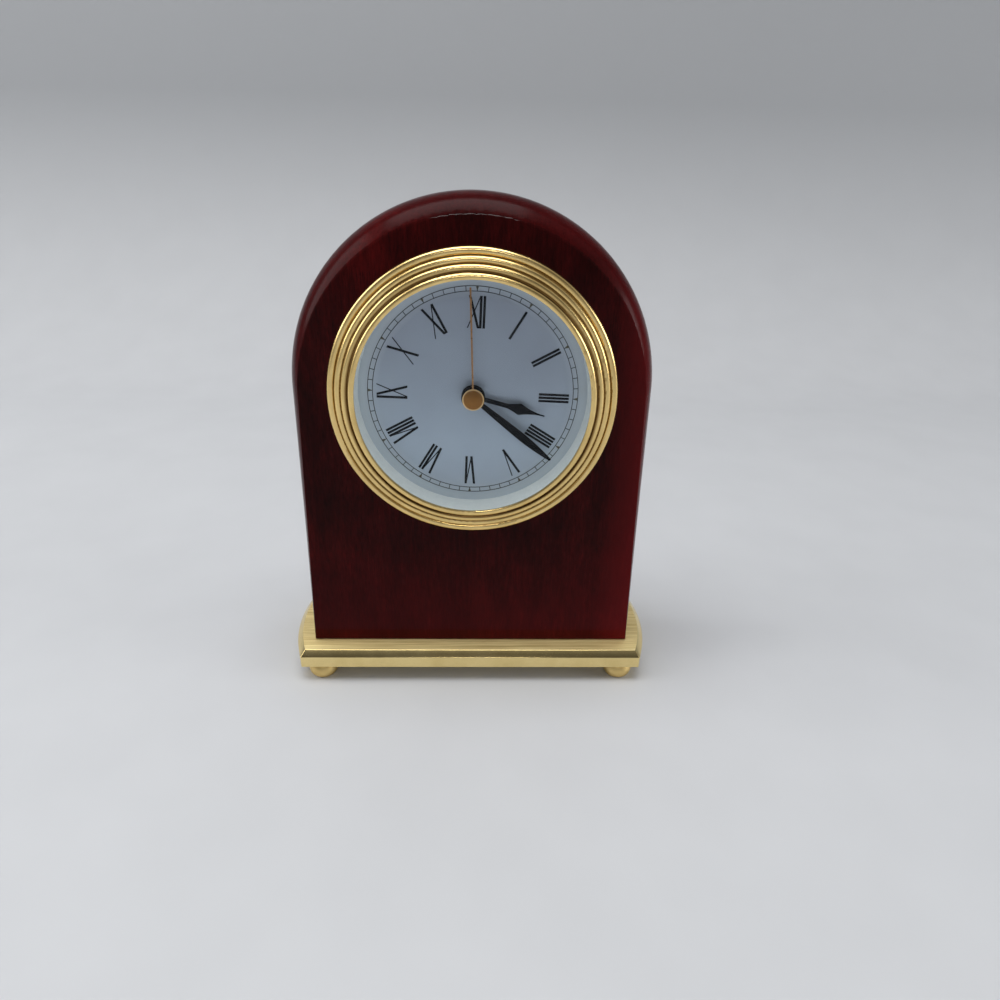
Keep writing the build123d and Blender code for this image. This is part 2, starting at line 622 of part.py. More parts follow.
def finished_hand(blade, hub_diameter, bore_diameter, height, degrees):
    """Hand of even thickness with a hub and a bore, turned clockwise from twelve."""
    outline = blade + Circle(hub_diameter / 2) - Circle(bore_diameter / 2)
    return Pos(0, 0, DIAL_FRONT + height) * Rot(0, 0, -degrees) * extrude(outline, HAND_THICKNESS)


def second_hand_cap():
    """Round domed cap over the second hand's hub."""
    back = DIAL_FRONT + SECOND_HAND_HEIGHT + HAND_THICKNESS
    crown = back + CAP_HEIGHT
    rise = CAP_HEIGHT - CAP_EDGE_HEIGHT
    dome_radius = ((CAP_DIAMETER / 2) ** 2 + rise ** 2) / (2 * rise)
    return rod(CAP_DIAMETER, back, crown) & Pos(0, 0, crown - dome_radius) * Sphere(dome_radius)


# Movement plates and cases

def post_places():
    """Places of the three screw posts of the rear case, by name."""
    distance = INSERT_RADIUS - REAR_CASE_WALL - POST_WALL_GAP - POST_DIAMETER / 2
    directions = {"top": TOP_POST_DEGREES, "left": LEFT_POST_DEGREES, "right": RIGHT_POST_DEGREES}
    return {name: spot(distance, degrees) for name, degrees in directions.items()}


def stator_post_places():
    """Places of the two posts that carry the stator's arms."""
    arm = STATOR_ARM_WIDTH / 2
    return [(-STATOR_LEFT + arm, COIL_RISE), (STATOR_RIGHT - arm, COIL_RISE)]


def movement_front_plate():
    """Plate behind the dial, with pillars, the motion wheel's post and the arbors' pivot holes."""
    solid = rod(INSERT_RADIUS * 2, PLATE_BACK, DIAL_BACK)
    solid -= rod(HOUR_PIPE_DIAMETER + RUNNING_GAP * 2, PLATE_BACK - OVERRUN, DIAL_BACK + OVERRUN)
    for place in PILLAR_PLACES:
        solid += rod(PILLAR_DIAMETER, TRAIN_FRONT, PLATE_BACK, place)
        solid += rod(PILLAR_STUD_DIAMETER, TRAIN_BACK, TRAIN_FRONT, place)
    for place in stator_post_places():
        solid += rod(STATOR_POST_DIAMETER, STATOR_FRONT, PLATE_BACK, place)
    solid += rod(ARBOR_DIAMETER, LAYER_BACKS[MOTION_LAYER] - PINION_OVERRUN, PLATE_BACK, MOTION)
    pivot_hole = PIVOT_DIAMETER + RUNNING_GAP * 2
    for place in (THIRD, INTERMEDIATE, ROTOR, SETTING):
        solid -= rod(pivot_hole, PLATE_BACK, PLATE_BACK + PIVOT_LENGTH + RUNNING_GAP, place)
    for place in post_places().values():
        solid -= rod(MOVEMENT_SCREW_DIAMETER, PLATE_BACK, PLATE_BACK + MOVEMENT_SCREW_BITE, place)
    return solid


def train_plate():
    """Plate on the pillars that carries the arbors' rear pivots and the circuit board."""
    width = TRAIN_PLATE_LEFT + TRAIN_PLATE_RIGHT
    height = TRAIN_PLATE_TOP + TRAIN_PLATE_BOTTOM
    middle = Pos(TRAIN_PLATE_RIGHT - width / 2, TRAIN_PLATE_TOP - height / 2, TRAIN_BACK)
    solid = middle * extrude(RectangleRounded(width, height, TRAIN_PLATE_CORNER), TRAIN_PLATE_THICKNESS)
    holes = [(PILLAR_STUD_DIAMETER, place) for place in PILLAR_PLACES]
    holes += [(PIVOT_DIAMETER + RUNNING_GAP * 2, place) for place in (AXIS, THIRD, INTERMEDIATE, ROTOR)]
    holes.append((SETTING_ARBOR_DIAMETER + RUNNING_GAP * 2, SETTING))
    for diameter, place in holes:
        solid -= rod(diameter, TRAIN_BACK - OVERRUN, TRAIN_FRONT + OVERRUN, place)
    return solid


def movement_rear_case():
    """Pot that closes the movement, with screw posts and a battery tray that opens at the back."""
    inside = (INSERT_RADIUS - REAR_CASE_WALL) * 2
    solid = rod(INSERT_RADIUS * 2, REAR_BACK, PLATE_BACK) - rod(inside, REAR_FRONT, PLATE_BACK + OVERRUN)
    for place in post_places().values():
        solid += rod(POST_DIAMETER, REAR_FRONT, PLATE_BACK, place)
    outer_half = TRAY_HALF_LENGTH + TRAY_WALL
    tray = block(-outer_half, outer_half, TRAY_BOTTOM - TRAY_WALL, TRAY_TOP + TRAY_WALL,
                 REAR_FRONT, TRAY_FLOOR + TRAY_WALL)
    solid += tray & rod(INSERT_RADIUS * 2, REAR_BACK, PLATE_BACK)
    solid -= block(-TRAY_HALF_LENGTH, TRAY_HALF_LENGTH, TRAY_BOTTOM, TRAY_TOP, REAR_FRONT, TRAY_FLOOR)
    solid -= block(-OPENING_HALF_LENGTH, OPENING_HALF_LENGTH, TRAY_BOTTOM, TRAY_TOP,
                   REAR_BACK - OVERRUN, REAR_FRONT)
    for side in (-1, 1):
        near, far = sorted((side * (OPENING_HALF_LENGTH - DOOR_LEDGE_WIDTH), side * OPENING_HALF_LENGTH))
        solid += block(near, far, TRAY_TOP - DOOR_LEDGE_LENGTH, TRAY_TOP, DOOR_FRONT, REAR_FRONT)
    pin_reach = DOOR_HALF_LENGTH + DOOR_PIN_LENGTH + RUNNING_GAP
    solid -= bar(DOOR_PIN_DIAMETER + RUNNING_GAP * 2, -pin_reach, pin_reach, HINGE_RISE, HINGE_DEPTH)
    for place in post_places().values():
        solid -= rod(MOVEMENT_SCREW_DIAMETER, REAR_BACK - OVERRUN, PLATE_BACK + OVERRUN, place)
        solid -= rod(MOVEMENT_SCREW_HEAD_DIAMETER, REAR_BACK - OVERRUN,
                     REAR_BACK + MOVEMENT_SCREW_HEAD_HEIGHT, place)
    setting_hole = SETTING_ARBOR_DIAMETER + RUNNING_GAP * 2
    return solid - rod(setting_hole, REAR_BACK - OVERRUN, REAR_FRONT + OVERRUN, SETTING)


def movement_screw():
    """Screw through a post of the rear case into the front plate."""
    length = PLATE_BACK + MOVEMENT_SCREW_BITE - REAR_BACK
    return screw(MOVEMENT_SCREW_DIAMETER, MOVEMENT_SCREW_HEAD_DIAMETER, MOVEMENT_SCREW_HEAD_HEIGHT, length)


# Gear train

def rotor():
    """Magnet and pinion of the stepping motor."""
    middle = (STATOR_FRONT + STATOR_BACK) / 2
    solid = arbor(ROTOR_ARBOR_DIAMETER, ROTOR)
    solid += rod(MAGNET_DIAMETER, middle - MAGNET_LENGTH / 2, middle + MAGNET_LENGTH / 2, ROTOR)
    return solid + gear(PINION_TEETH, ROTOR_MODULE, 0.0, LAYER_BACKS[INTERMEDIATE_LAYER] - PINION_OVERRUN,
                        LAYER_FRONTS[INTERMEDIATE_LAYER] + PINION_OVERRUN, ROTOR)


def intermediate_wheel():
    """Wheel on the rotor's pinion, with the pinion that drives the seconds wheel."""
    turn = meshed(PINION_TEETH, 0.0, INTERMEDIATE_WHEEL_TEETH, ROTOR_DEGREES + 180)
    solid = arbor(ARBOR_DIAMETER, INTERMEDIATE)
    solid += gear(INTERMEDIATE_WHEEL_TEETH, ROTOR_MODULE, turn, LAYER_BACKS[INTERMEDIATE_LAYER],
                  LAYER_FRONTS[INTERMEDIATE_LAYER], INTERMEDIATE)
    return solid + gear(PINION_TEETH, SECONDS_MODULE, 0.0, LAYER_FRONTS[INTERMEDIATE_LAYER],
                        LAYER_FRONTS[SECONDS_LAYER] + PINION_OVERRUN, INTERMEDIATE)


def seconds_wheel():
    """Wheel, pinion and long arbor that carries the second hand."""
    turn = meshed(PINION_TEETH, 0.0, SECONDS_WHEEL_TEETH, INTERMEDIATE_DEGREES + 180)
    solid = rod(SECONDS_ARBOR_DIAMETER, TRAIN_FRONT + RUNNING_GAP,
                DIAL_FRONT + SECOND_HAND_HEIGHT + HAND_THICKNESS)
    solid += rod(PIVOT_DIAMETER, TRAIN_FRONT - PIVOT_LENGTH, TRAIN_FRONT + RUNNING_GAP)
    solid += gear(SECONDS_WHEEL_TEETH, SECONDS_MODULE, turn, LAYER_BACKS[SECONDS_LAYER],
                  LAYER_FRONTS[SECONDS_LAYER])
    return solid + gear(PINION_TEETH, THIRD_MODULE, 0.0, LAYER_FRONTS[SECONDS_LAYER],
                        LAYER_FRONTS[THIRD_LAYER] + PINION_OVERRUN)


def third_wheel():
    """Wheel on the seconds pinion, with the pinion that drives the centre wheel."""
    turn = meshed(PINION_TEETH, 0.0, THIRD_WHEEL_TEETH, THIRD_DEGREES)
    solid = arbor(ARBOR_DIAMETER, THIRD)
    solid += gear(THIRD_WHEEL_TEETH, THIRD_MODULE, turn, LAYER_BACKS[THIRD_LAYER],
                  LAYER_FRONTS[THIRD_LAYER], THIRD)
    return solid + gear(PINION_TEETH, TRAIN_MODULE, 0.0, LAYER_FRONTS[THIRD_LAYER],
                        LAYER_FRONTS[CENTRE_LAYER] + PINION_OVERRUN, THIRD)


def centre_wheel():
    """Wheel that turns the minute pipe through a slipping fit."""
    turn = meshed(PINION_TEETH, 0.0, CENTRE_WHEEL_TEETH, THIRD_DEGREES + 180)
    solid = gear(CENTRE_WHEEL_TEETH, TRAIN_MODULE, turn, LAYER_BACKS[CENTRE_LAYER],
                 LAYER_FRONTS[CENTRE_LAYER])
    hub_front = LAYER_BACKS[MOTION_LAYER] - PINION_OVERRUN - RUNNING_GAP
    solid += rod(CENTRE_HUB_DIAMETER, LAYER_BACKS[CENTRE_LAYER], hub_front)
    return solid - rod(MINUTE_PIPE_DIAMETER + RUNNING_GAP * 2, LAYER_BACKS[CENTRE_LAYER] - OVERRUN,
                       hub_front + OVERRUN)


def minute_pipe():
    """Pipe through the hour wheel that carries the minute hand, with the cannon pinion and a rear flange."""
    flange_front = LAYER_BACKS[CENTRE_LAYER] - RUNNING_GAP
    flange_back = flange_front - MINUTE_PIPE_FLANGE_THICKNESS
    front = DIAL_FRONT + MINUTE_HAND_HEIGHT + HAND_THICKNESS
    solid = rod(MINUTE_PIPE_DIAMETER, flange_back, front)
    solid += rod(MINUTE_PIPE_FLANGE_DIAMETER, flange_back, flange_front)
    solid += gear(CANNON_TEETH, MOTION_MODULE, 0.0, LAYER_BACKS[MOTION_LAYER] - PINION_OVERRUN,
                  LAYER_FRONTS[MOTION_LAYER] + PINION_OVERRUN)
    return solid - rod(SECONDS_ARBOR_DIAMETER + RUNNING_GAP * 2, flange_back - OVERRUN, front + OVERRUN)


def motion_wheel():
    """Wheel on the cannon pinion, with the pinion that drives the hour wheel."""
    turn = meshed(CANNON_TEETH, 0.0, MOTION_WHEEL_TEETH, MOTION_DEGREES)
    front = PLATE_BACK - RUNNING_GAP
    solid = gear(MOTION_WHEEL_TEETH, MOTION_MODULE, turn, LAYER_BACKS[MOTION_LAYER],
                 LAYER_FRONTS[MOTION_LAYER], MOTION)
    solid += gear(MOTION_PINION_TEETH, HOUR_MODULE, 0.0, LAYER_FRONTS[MOTION_LAYER], front, MOTION)
    return solid - rod(ARBOR_DIAMETER + RUNNING_GAP * 2, LAYER_BACKS[MOTION_LAYER] - OVERRUN,
                       front + OVERRUN, MOTION)


def hour_wheel():
    """Wheel with a hub against the front plate and a pipe that carries the hour hand."""
    turn = meshed(MOTION_PINION_TEETH, 0.0, HOUR_WHEEL_TEETH, MOTION_DEGREES + 180)
    back = LAYER_FRONTS[MOTION_LAYER] + PINION_OVERRUN + RUNNING_GAP
    front = DIAL_FRONT + HOUR_HAND_HEIGHT + HAND_THICKNESS
    solid = gear(HOUR_WHEEL_TEETH, HOUR_MODULE, turn, LAYER_BACKS[HOUR_LAYER], LAYER_FRONTS[HOUR_LAYER])
    solid += rod(HOUR_HUB_DIAMETER, LAYER_BACKS[HOUR_LAYER], PLATE_BACK - RUNNING_GAP)
    solid += rod(HOUR_PIPE_DIAMETER, back, front)
    return solid - rod(MINUTE_PIPE_DIAMETER + RUNNING_GAP * 2, back - OVERRUN, front + OVERRUN)


def setting_arbor():
    """Long arbor with a pinion on the motion wheel, out through the back of the rear case."""
    wheel_turn = meshed(CANNON_TEETH, 0.0, MOTION_WHEEL_TEETH, MOTION_DEGREES)
    turn = meshed(MOTION_WHEEL_TEETH, wheel_turn, CANNON_TEETH, MOTION_DEGREES)
    knob_back = REAR_BACK - KNOB_GAP - KNOB_THICKNESS
    solid = rod(SETTING_ARBOR_DIAMETER, knob_back, PLATE_BACK - RUNNING_GAP, SETTING)
    solid += rod(PIVOT_DIAMETER, PLATE_BACK - RUNNING_GAP, PLATE_BACK + PIVOT_LENGTH, SETTING)
    return solid + gear(CANNON_TEETH, MOTION_MODULE, turn, LAYER_BACKS[MOTION_LAYER] - PINION_OVERRUN,
                        LAYER_FRONTS[MOTION_LAYER] + PINION_OVERRUN, SETTING)


def setting_knob():
    """Fluted knob on the end of the setting arbor."""
    front = REAR_BACK - KNOB_GAP
    back = front - KNOB_THICKNESS
    outline = Circle(KNOB_DIAMETER / 2) - Circle(SETTING_ARBOR_DIAMETER / 2)
    flutes = PolarLocations(KNOB_DIAMETER / 2, KNOB_FLUTES)
    outline -= flutes * Circle(KNOB_FLUTE_DIAMETER / 2)
    return Pos(SETTING[0], SETTING[1], back) * extrude(outline, KNOB_THICKNESS)


# Stepping motor and circuit board

def stator_plate():
    """Flat plate with a round hole for the rotor and two arms up to the coil's core."""
    arm_top = COIL_RISE + CORE_WIDTH / 2
    solid = block(-STATOR_LEFT, STATOR_RIGHT, STATOR_BOTTOM, STATOR_BOTTOM + STATOR_BRIDGE_HEIGHT,
                  STATOR_BACK, STATOR_FRONT)
    solid += block(-STATOR_LEFT, -STATOR_LEFT + STATOR_ARM_WIDTH, STATOR_BOTTOM, arm_top,
                   STATOR_BACK, STATOR_FRONT)
    solid += block(STATOR_RIGHT - STATOR_ARM_WIDTH, STATOR_RIGHT, STATOR_BOTTOM, arm_top,
                   STATOR_BACK, STATOR_FRONT)
    solid -= rod(STATOR_HOLE_DIAMETER, STATOR_BACK - OVERRUN, STATOR_FRONT + OVERRUN, ROTOR)
    return solid - rod(STATOR_NOTCH_DIAMETER, STATOR_BACK - OVERRUN, STATOR_FRONT + OVERRUN, INTERMEDIATE)


def coil_core():
    """Iron strip through the bobbin that joins the stator's arms."""
    return block(-STATOR_LEFT, STATOR_RIGHT, COIL_RISE - CORE_WIDTH / 2, COIL_RISE + CORE_WIDTH / 2,
                 CORE_BACK, STATOR_BACK)


def coil_bobbin():
    """Reel with a flange at each end, on the core."""
    solid = bar(BOBBIN_TUBE_DIAMETER, BOBBIN_LEFT, BOBBIN_RIGHT, COIL_RISE, COIL_DEPTH)
    solid += bar(BOBBIN_FLANGE_DIAMETER, BOBBIN_LEFT, BOBBIN_LEFT + BOBBIN_FLANGE_THICKNESS,
                 COIL_RISE, COIL_DEPTH)
    solid += bar(BOBBIN_FLANGE_DIAMETER, BOBBIN_RIGHT - BOBBIN_FLANGE_THICKNESS, BOBBIN_RIGHT,
                 COIL_RISE, COIL_DEPTH)
    return solid - coil_core()


def coil_winding():
    """Body of fine copper wire on the bobbin."""
    left = BOBBIN_LEFT + BOBBIN_FLANGE_THICKNESS
    right = BOBBIN_RIGHT - BOBBIN_FLANGE_THICKNESS
    return (bar(WINDING_DIAMETER, left, right, COIL_RISE, COIL_DEPTH)
            - bar(BOBBIN_TUBE_DIAMETER, left, right, COIL_RISE, COIL_DEPTH))


def circuit_board():
    """Board on the back of the train plate."""
    return block(-BOARD_LEFT, BOARD_RIGHT, BOARD_BOTTOM, BOARD_TOP, BOARD_BACK, TRAIN_BACK)


def driver_chip():
    """Moulded driver circuit on the board."""
    half = CHIP_SIDE / 2
    across, rise = CHIP_PLACE
    return block(across - half, across + half, rise - half, rise + half, BOARD_BACK - CHIP_HEIGHT, BOARD_BACK)


def quartz_crystal():
    """Crystal's round can, lying on the board on a low saddle."""
    across, rise = CRYSTAL_PLACE
    middle = BOARD_BACK - CRYSTAL_DIAMETER / 2
    half = CRYSTAL_SADDLE_WIDTH / 2
    can = Location((across, rise, middle), (90, 0, 0)) * Cylinder(CRYSTAL_DIAMETER / 2, CRYSTAL_LENGTH)
    saddle = block(across - half, across + half, rise - CRYSTAL_LENGTH / 2, rise + CRYSTAL_LENGTH / 2,
                   middle, BOARD_BACK)
    return can + saddle


# Battery

def battery():
    """Round cell, lying across the clock with its nub to the right."""
    half = BATTERY_LENGTH / 2
    body = bar(BATTERY_DIAMETER, -half, half - BATTERY_NUB_LENGTH, -BATTERY_DROP, BATTERY_DEPTH)
    return body + bar(BATTERY_NUB_DIAMETER, half - BATTERY_NUB_LENGTH, half, -BATTERY_DROP, BATTERY_DEPTH)


def contact_sheet(left, right):
    """Square metal sheet at one end of the tray."""
    half = CONTACT_SIDE / 2
    return block(left, right, -BATTERY_DROP - half, -BATTERY_DROP + half,
                 BATTERY_DEPTH - half, BATTERY_DEPTH + half)


def battery_contact_plus():
    """Sheet with a dimple on the battery's nub."""
    sheet = contact_sheet(TRAY_HALF_LENGTH - CONTACT_THICKNESS, TRAY_HALF_LENGTH)
    dimple = bar(CONTACT_DIMPLE_DIAMETER, BATTERY_LENGTH / 2, TRAY_HALF_LENGTH, -BATTERY_DROP, BATTERY_DEPTH)
    return sheet + dimple


def battery_contact_minus():
    """Sheet with the outer shape of a conical spring on the battery's flat end."""
    sheet = contact_sheet(-TRAY_HALF_LENGTH, -TRAY_HALF_LENGTH + CONTACT_THICKNESS)
    spring = Cone(SPRING_WIDE_DIAMETER / 2, SPRING_NARROW_DIAMETER / 2, CONTACT_ROOM,
                  align=(Align.CENTER, Align.CENTER, Align.MIN))
    return sheet + Location((-TRAY_HALF_LENGTH, -BATTERY_DROP, BATTERY_DEPTH), (0, 90, 0)) * spring


def battery_door():
    """Flap flush with the back of the rear case, with a hinge pin at each lower end and a finger notch."""
    solid = block(-DOOR_HALF_LENGTH, DOOR_HALF_LENGTH, HINGE_RISE, DOOR_TOP, REAR_BACK, DOOR_FRONT)
    solid += bar(DOOR_THICKNESS, -DOOR_HALF_LENGTH, DOOR_HALF_LENGTH, HINGE_RISE, HINGE_DEPTH)
    pin_reach = DOOR_HALF_LENGTH + DOOR_PIN_LENGTH
    solid += bar(DOOR_PIN_DIAMETER, -pin_reach, pin_reach, HINGE_RISE, HINGE_DEPTH)
    notch_top = DOOR_TOP - DOOR_NOTCH_MARGIN
    notch_half = DOOR_NOTCH_LENGTH / 2
    return solid - block(-notch_half, notch_half, notch_top - DOOR_NOTCH_WIDTH, notch_top,
                         REAR_BACK - OVERRUN, REAR_BACK + DOOR_NOTCH_DEPTH)


def all_parts():
    """Every piece in its place, by name."""
    parts = {"wood_case": wood_case(), "base_plate": base_plate()}
    for name, place in foot_places().items():
        parts[name] = place * foot()
    for side, place in zip(("left", "right"), base_screw_places()):
        parts[f"base_screw_{side}"] = place * screw(BASE_SCREW_DIAMETER, BASE_SCREW_HEAD_DIAMETER,
                                                    BASE_SCREW_HEAD_HEIGHT, BASE_SCREW_LENGTH)
    makers = (bezel, lens, reflector_ring, dial, insert_cup, friction_band,
              hour_hand, minute_hand, second_hand, second_hand_cap,
              movement_front_plate, train_plate, movement_rear_case,
              rotor, intermediate_wheel, seconds_wheel, third_wheel, centre_wheel,
              minute_pipe, motion_wheel, hour_wheel, setting_arbor, setting_knob,
              stator_plate, coil_core, coil_bobbin, coil_winding,
              circuit_board, driver_chip, quartz_crystal,
              battery, battery_contact_plus, battery_contact_minus, battery_door)
    for maker in makers:
        parts[maker.__name__] = seat(maker())
    for name, place in post_places().items():
        parts[f"movement_screw_{name}"] = seat(Pos(place[0], place[1], REAR_BACK) * movement_screw())
    return parts


os.makedirs("parts", exist_ok=True)
for part_name, part in all_parts().items():
    export_step(part, f"parts/{part_name}.step")
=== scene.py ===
"""Finishes, dial print and setting of the desk clock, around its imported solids."""

import math

import bmesh
import bpy
from mathutils import Matrix, Vector


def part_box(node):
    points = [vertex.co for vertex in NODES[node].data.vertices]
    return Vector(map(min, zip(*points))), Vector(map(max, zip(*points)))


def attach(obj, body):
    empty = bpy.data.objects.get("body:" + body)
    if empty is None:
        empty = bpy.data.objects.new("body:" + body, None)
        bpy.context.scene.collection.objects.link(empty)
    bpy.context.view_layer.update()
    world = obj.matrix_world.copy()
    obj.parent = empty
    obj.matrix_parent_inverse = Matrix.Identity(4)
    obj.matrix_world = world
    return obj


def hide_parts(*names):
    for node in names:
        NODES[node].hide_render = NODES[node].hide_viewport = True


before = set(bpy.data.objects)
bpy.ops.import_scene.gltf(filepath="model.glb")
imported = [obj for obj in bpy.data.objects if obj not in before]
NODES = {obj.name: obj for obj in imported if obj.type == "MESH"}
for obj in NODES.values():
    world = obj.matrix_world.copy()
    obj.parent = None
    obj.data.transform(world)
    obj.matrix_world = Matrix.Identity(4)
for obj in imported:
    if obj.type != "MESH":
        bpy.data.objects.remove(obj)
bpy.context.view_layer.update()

MM = 0.001
FULL_TURN = math.tau
QUARTER_TURN = math.pi / 2
MATRIX_SIZE = 4

# Screen colour to linear colour, as the sRGB standard gives it
SCREEN_WHITE = 255
SCREEN_KNEE = 0.04045
SCREEN_SLOPE = 12.92
SCREEN_SHIFT = 0.055
SCREEN_POWER = 2.4

# Camera at the photograph's place
CAMERA_PLACE = (0.00114, -0.20447, 0.14352)
CAMERA_PITCH = math.radians(23.855)
CAMERA_YAW = math.radians(2.113)
CAMERA_ROLL = math.radians(1.362)
CAMERA_LENS = 25.2
CAMERA_SENSOR = 36.0
CAMERA_NEAR = 0.005

# Lamps: name, place, target, width, height, radiance
LAMPS = (
    ("front_softbox", (0.0, -0.95, 0.70), (0.0, 0.0, 0.10), 0.40, 0.09, 9.0),
    ("left_softbox", (-0.90, -0.10, 0.60), (0.0, 0.0, 0.08), 0.60, 0.70, 2.7),
    ("right_softbox", (0.95, -0.20, 0.30), (0.0, 0.0, 0.08), 0.50, 0.40, 4.2),
    ("overhead_softbox", (-0.15, -0.10, 1.05), (-0.15, -0.10, 0.0), 0.95, 0.60, 3.5),
)

# Sky: its level by height, and the share of it that is left in front of the clock, low and high up
SKY_STOPS = ((0.0, 0.64), (0.25, 0.55), (0.60, 0.34), (0.85, 0.38), (1.0, 1.20))
SKY_BLUE = 1.01
SKY_FRONT_DEPTHS = (-0.20, -0.60)
SKY_FRONT_HEIGHTS = (0.10, 0.45)
SKY_FRONT_SHARES = (0.55, 0.18)

# Pale stage: a floor that sweeps up into a wall
STAGE_SIDE = 6.0
STAGE_BACK = 0.52
STAGE_HEIGHT = 3.0
STAGE_SWEEP = 0.22
STAGE_SWEEP_STEPS = 24
STAGE_ROUGHNESS = 0.6

# Dial print, in millimetres on the dial
PRINT_TURN = math.radians(1.8)
PRINT_SINK = 0.02
PRINT_HEIGHT = 0.05
PRINT_STEP = 0.002
TICK_LAYER = 1
WEDGE_LAYER = 2
NUMERALS = ("XII", "I", "II", "III", "IIII", "V", "VI", "VII", "VIII", "IX", "X", "XI")
NUMERAL_OUTER = 27.1
NUMERAL_INNER = 18.5
THICK_STROKE = 0.68
THIN_STROKE = 0.30
LETTER_PITCHES = {"II": 0.95, "XI": 1.80, "IX": 1.95, "VI": 1.38}
X_THICK_REACH = 1.225
X_THIN_REACH = 1.675
V_THICK_REACH = 1.10
V_THIN_REACH = 1.28
TRACK_OUTER = 29.6
TRACK_INNER = 28.25
TRACK_LINE = 0.21
TRACK_SIDES = 240
MINUTES = 60
HOURS = 12
PLATE_CORNERS = 4
WEDGE_WIDTH = 0.9
WEDGE_LENGTH = 1.1

# Softened edges of the base plate
MERGE_GAP = 0.001 * MM
FLAT_ANGLE = math.radians(0.5)
EDGE_ANGLE = math.radians(30.0)
BASE_EDGE_ROUND = 0.22 * MM
BASE_EDGE_STEPS = 3

# Noise: its detail and roughness
SMOOTH = (1.0, 0.5)
SOFT = (2.0, 0.5)
FINE = (2.0, 0.6)
CLOUDY = (3.0, 0.6)
BRUSHED = (4.0, 0.65)

# Where a noise is at its darkest and its lightest colour
TONE_LEVELS = (0.30, 0.70)

# Colour sockets of a Mix node
MIX_FIRST = 6
MIX_SECOND = 7
MIX_RESULT = 2


class Amount:
    """A socket of a node tree. Sums, differences and products of it add Math nodes."""

    def __init__(self, nodes, socket):
        self.nodes = nodes
        self.socket = socket

    def math(self, operation, first, second):
        return self.nodes.node("Math", {"operation": operation}, {0: first, 1: second})

    def __add__(self, other):
        return self.math("ADD", self, other)

    def __radd__(self, other):
        return self.math("ADD", other, self)

    def __sub__(self, other):
        return self.math("SUBTRACT", self, other)

    def __rsub__(self, other):
        return self.math("SUBTRACT", other, self)

    def __mul__(self, other):
        return self.math("MULTIPLY", self, other)

    def __rmul__(self, other):
        return self.math("MULTIPLY", other, self)


class Nodes:
    """A node tree that is filled one node at a time."""

    def __init__(self, tree):
        self.tree = tree
        tree.nodes.clear()

    def node(self, kind, settings, sockets, output=0):
        """A node of this kind. Its settings come first, then its socket values and links."""
        made = self.tree.nodes.new("ShaderNode" + kind)
        for name, setting in settings.items():
            if name == "stops":
                self.set_stops(made.color_ramp, setting)
            else:
                setattr(made, name, setting)
        for name, amount in sockets.items():
            if isinstance(amount, Amount):
                self.tree.links.new(amount.socket, made.inputs[name])
            else:
                made.inputs[name].default_value = amount
        if not made.outputs:
            return None
        return Amount(self, made.outputs[output])

    def set_stops(self, ramp, stops):
        while len(ramp.elements) < len(stops):
            ramp.elements.new(1.0)
        for element, (place, colour) in zip(ramp.elements, stops):
            element.position = place
            element.color = colour

    def ramp(self, amount, stops):
        return self.node("ValToRGB", {"stops": stops}, {0: amount})

    def between(self, amount, low, high):
        """0 at low, 1 at high, even in between and level beyond. Low may be the larger one."""
        sockets = {0: amount, 1: low, 2: high, 3: 0.0, 4: 1.0}
        return self.node("MapRange", {"clamp": True}, sockets)

    def axis(self, vector, name):
        return self.node("SeparateXYZ", {}, {0: vector}, name)


class Finish(Nodes):
    """A material with its nodes, patterned on the piece's own coordinates."""

    def __init__(self, name):
        self.material = bpy.data.materials.new(name)
        self.material.use_nodes = True
        super().__init__(self.material.node_tree)
        self.place = self.node("TexCoord", {}, {}, "Object")
        self.facing = None

    def noise(self, grains, octaves, place=None):
        """Noise with its own number of grains per metre along each axis."""
        detail, rough = octaves
        spread = self.node("Mapping", {}, {"Vector": place or self.place, "Scale": grains})
        sockets = {"Vector": spread, "Scale": 1.0, "Detail": detail, "Roughness": rough}
        return self.node("TexNoise", {}, sockets)

    def tone(self, amount, dark, light):
        """Dark where the noise is low, light where it is high."""
        low, high = TONE_LEVELS
        return self.ramp(amount, ((low, dark), (high, light)))

    def blend(self, share, first, second):
        sockets = {0: share, MIX_FIRST: first, MIX_SECOND: second}
        return self.node("Mix", {"data_type": "RGBA"}, sockets, MIX_RESULT)

    def normal(self, name):
        """One axis of the piece's surface normal."""
        if self.facing is None:
            self.facing = self.node("TexCoord", {}, {}, "Normal")
        return self.axis(self.facing, name)

    def polar(self, centre):
        """Distance in the dial's plane from the clock's axis, in metres."""
        moved = self.node("VectorMath", {"operation": "SUBTRACT"}, {0: self.place, 1: centre})
        flat = self.node("VectorMath", {"operation": "MULTIPLY"}, {0: moved, 1: (1.0, 0.0, 1.0)})
        return self.node("VectorMath", {"operation": "LENGTH"}, {0: flat}, "Value")

    def bump(self, height, distance, strength):
        sockets = {"Height": height, "Strength": strength, "Distance": distance}
        return self.node("Bump", {}, sockets)

    def surface(self, sockets):
        shader = self.node("BsdfPrincipled", {}, sockets)
        self.node("OutputMaterial", {}, {"Surface": shader})
        return self


def shade(red, green, blue):
    """A colour as it shows on screen, from 0 to 255, as the renderer's linear colour."""
    linear = []
    for level in (red, green, blue):
        share = level / SCREEN_WHITE
        if share <= SCREEN_KNEE:
            linear.append(share / SCREEN_SLOPE)
        else:
            linear.append(((share + SCREEN_SHIFT) / (1 + SCREEN_SHIFT)) ** SCREEN_POWER)
    return (*linear, 1.0)


def even(grains):
    """The same number of grains along each axis."""
    return (grains, grains, grains)


def turned(angle, axis):
    """A turn about one axis, as a matrix."""
    return Matrix.Rotation(angle, MATRIX_SIZE, axis)


def clock_centre():
    """Where the hands' axis meets the dial's face."""
    low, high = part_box("dial")
    return Vector(((low.x + high.x) / 2, low.y, (low.z + high.z) / 2))


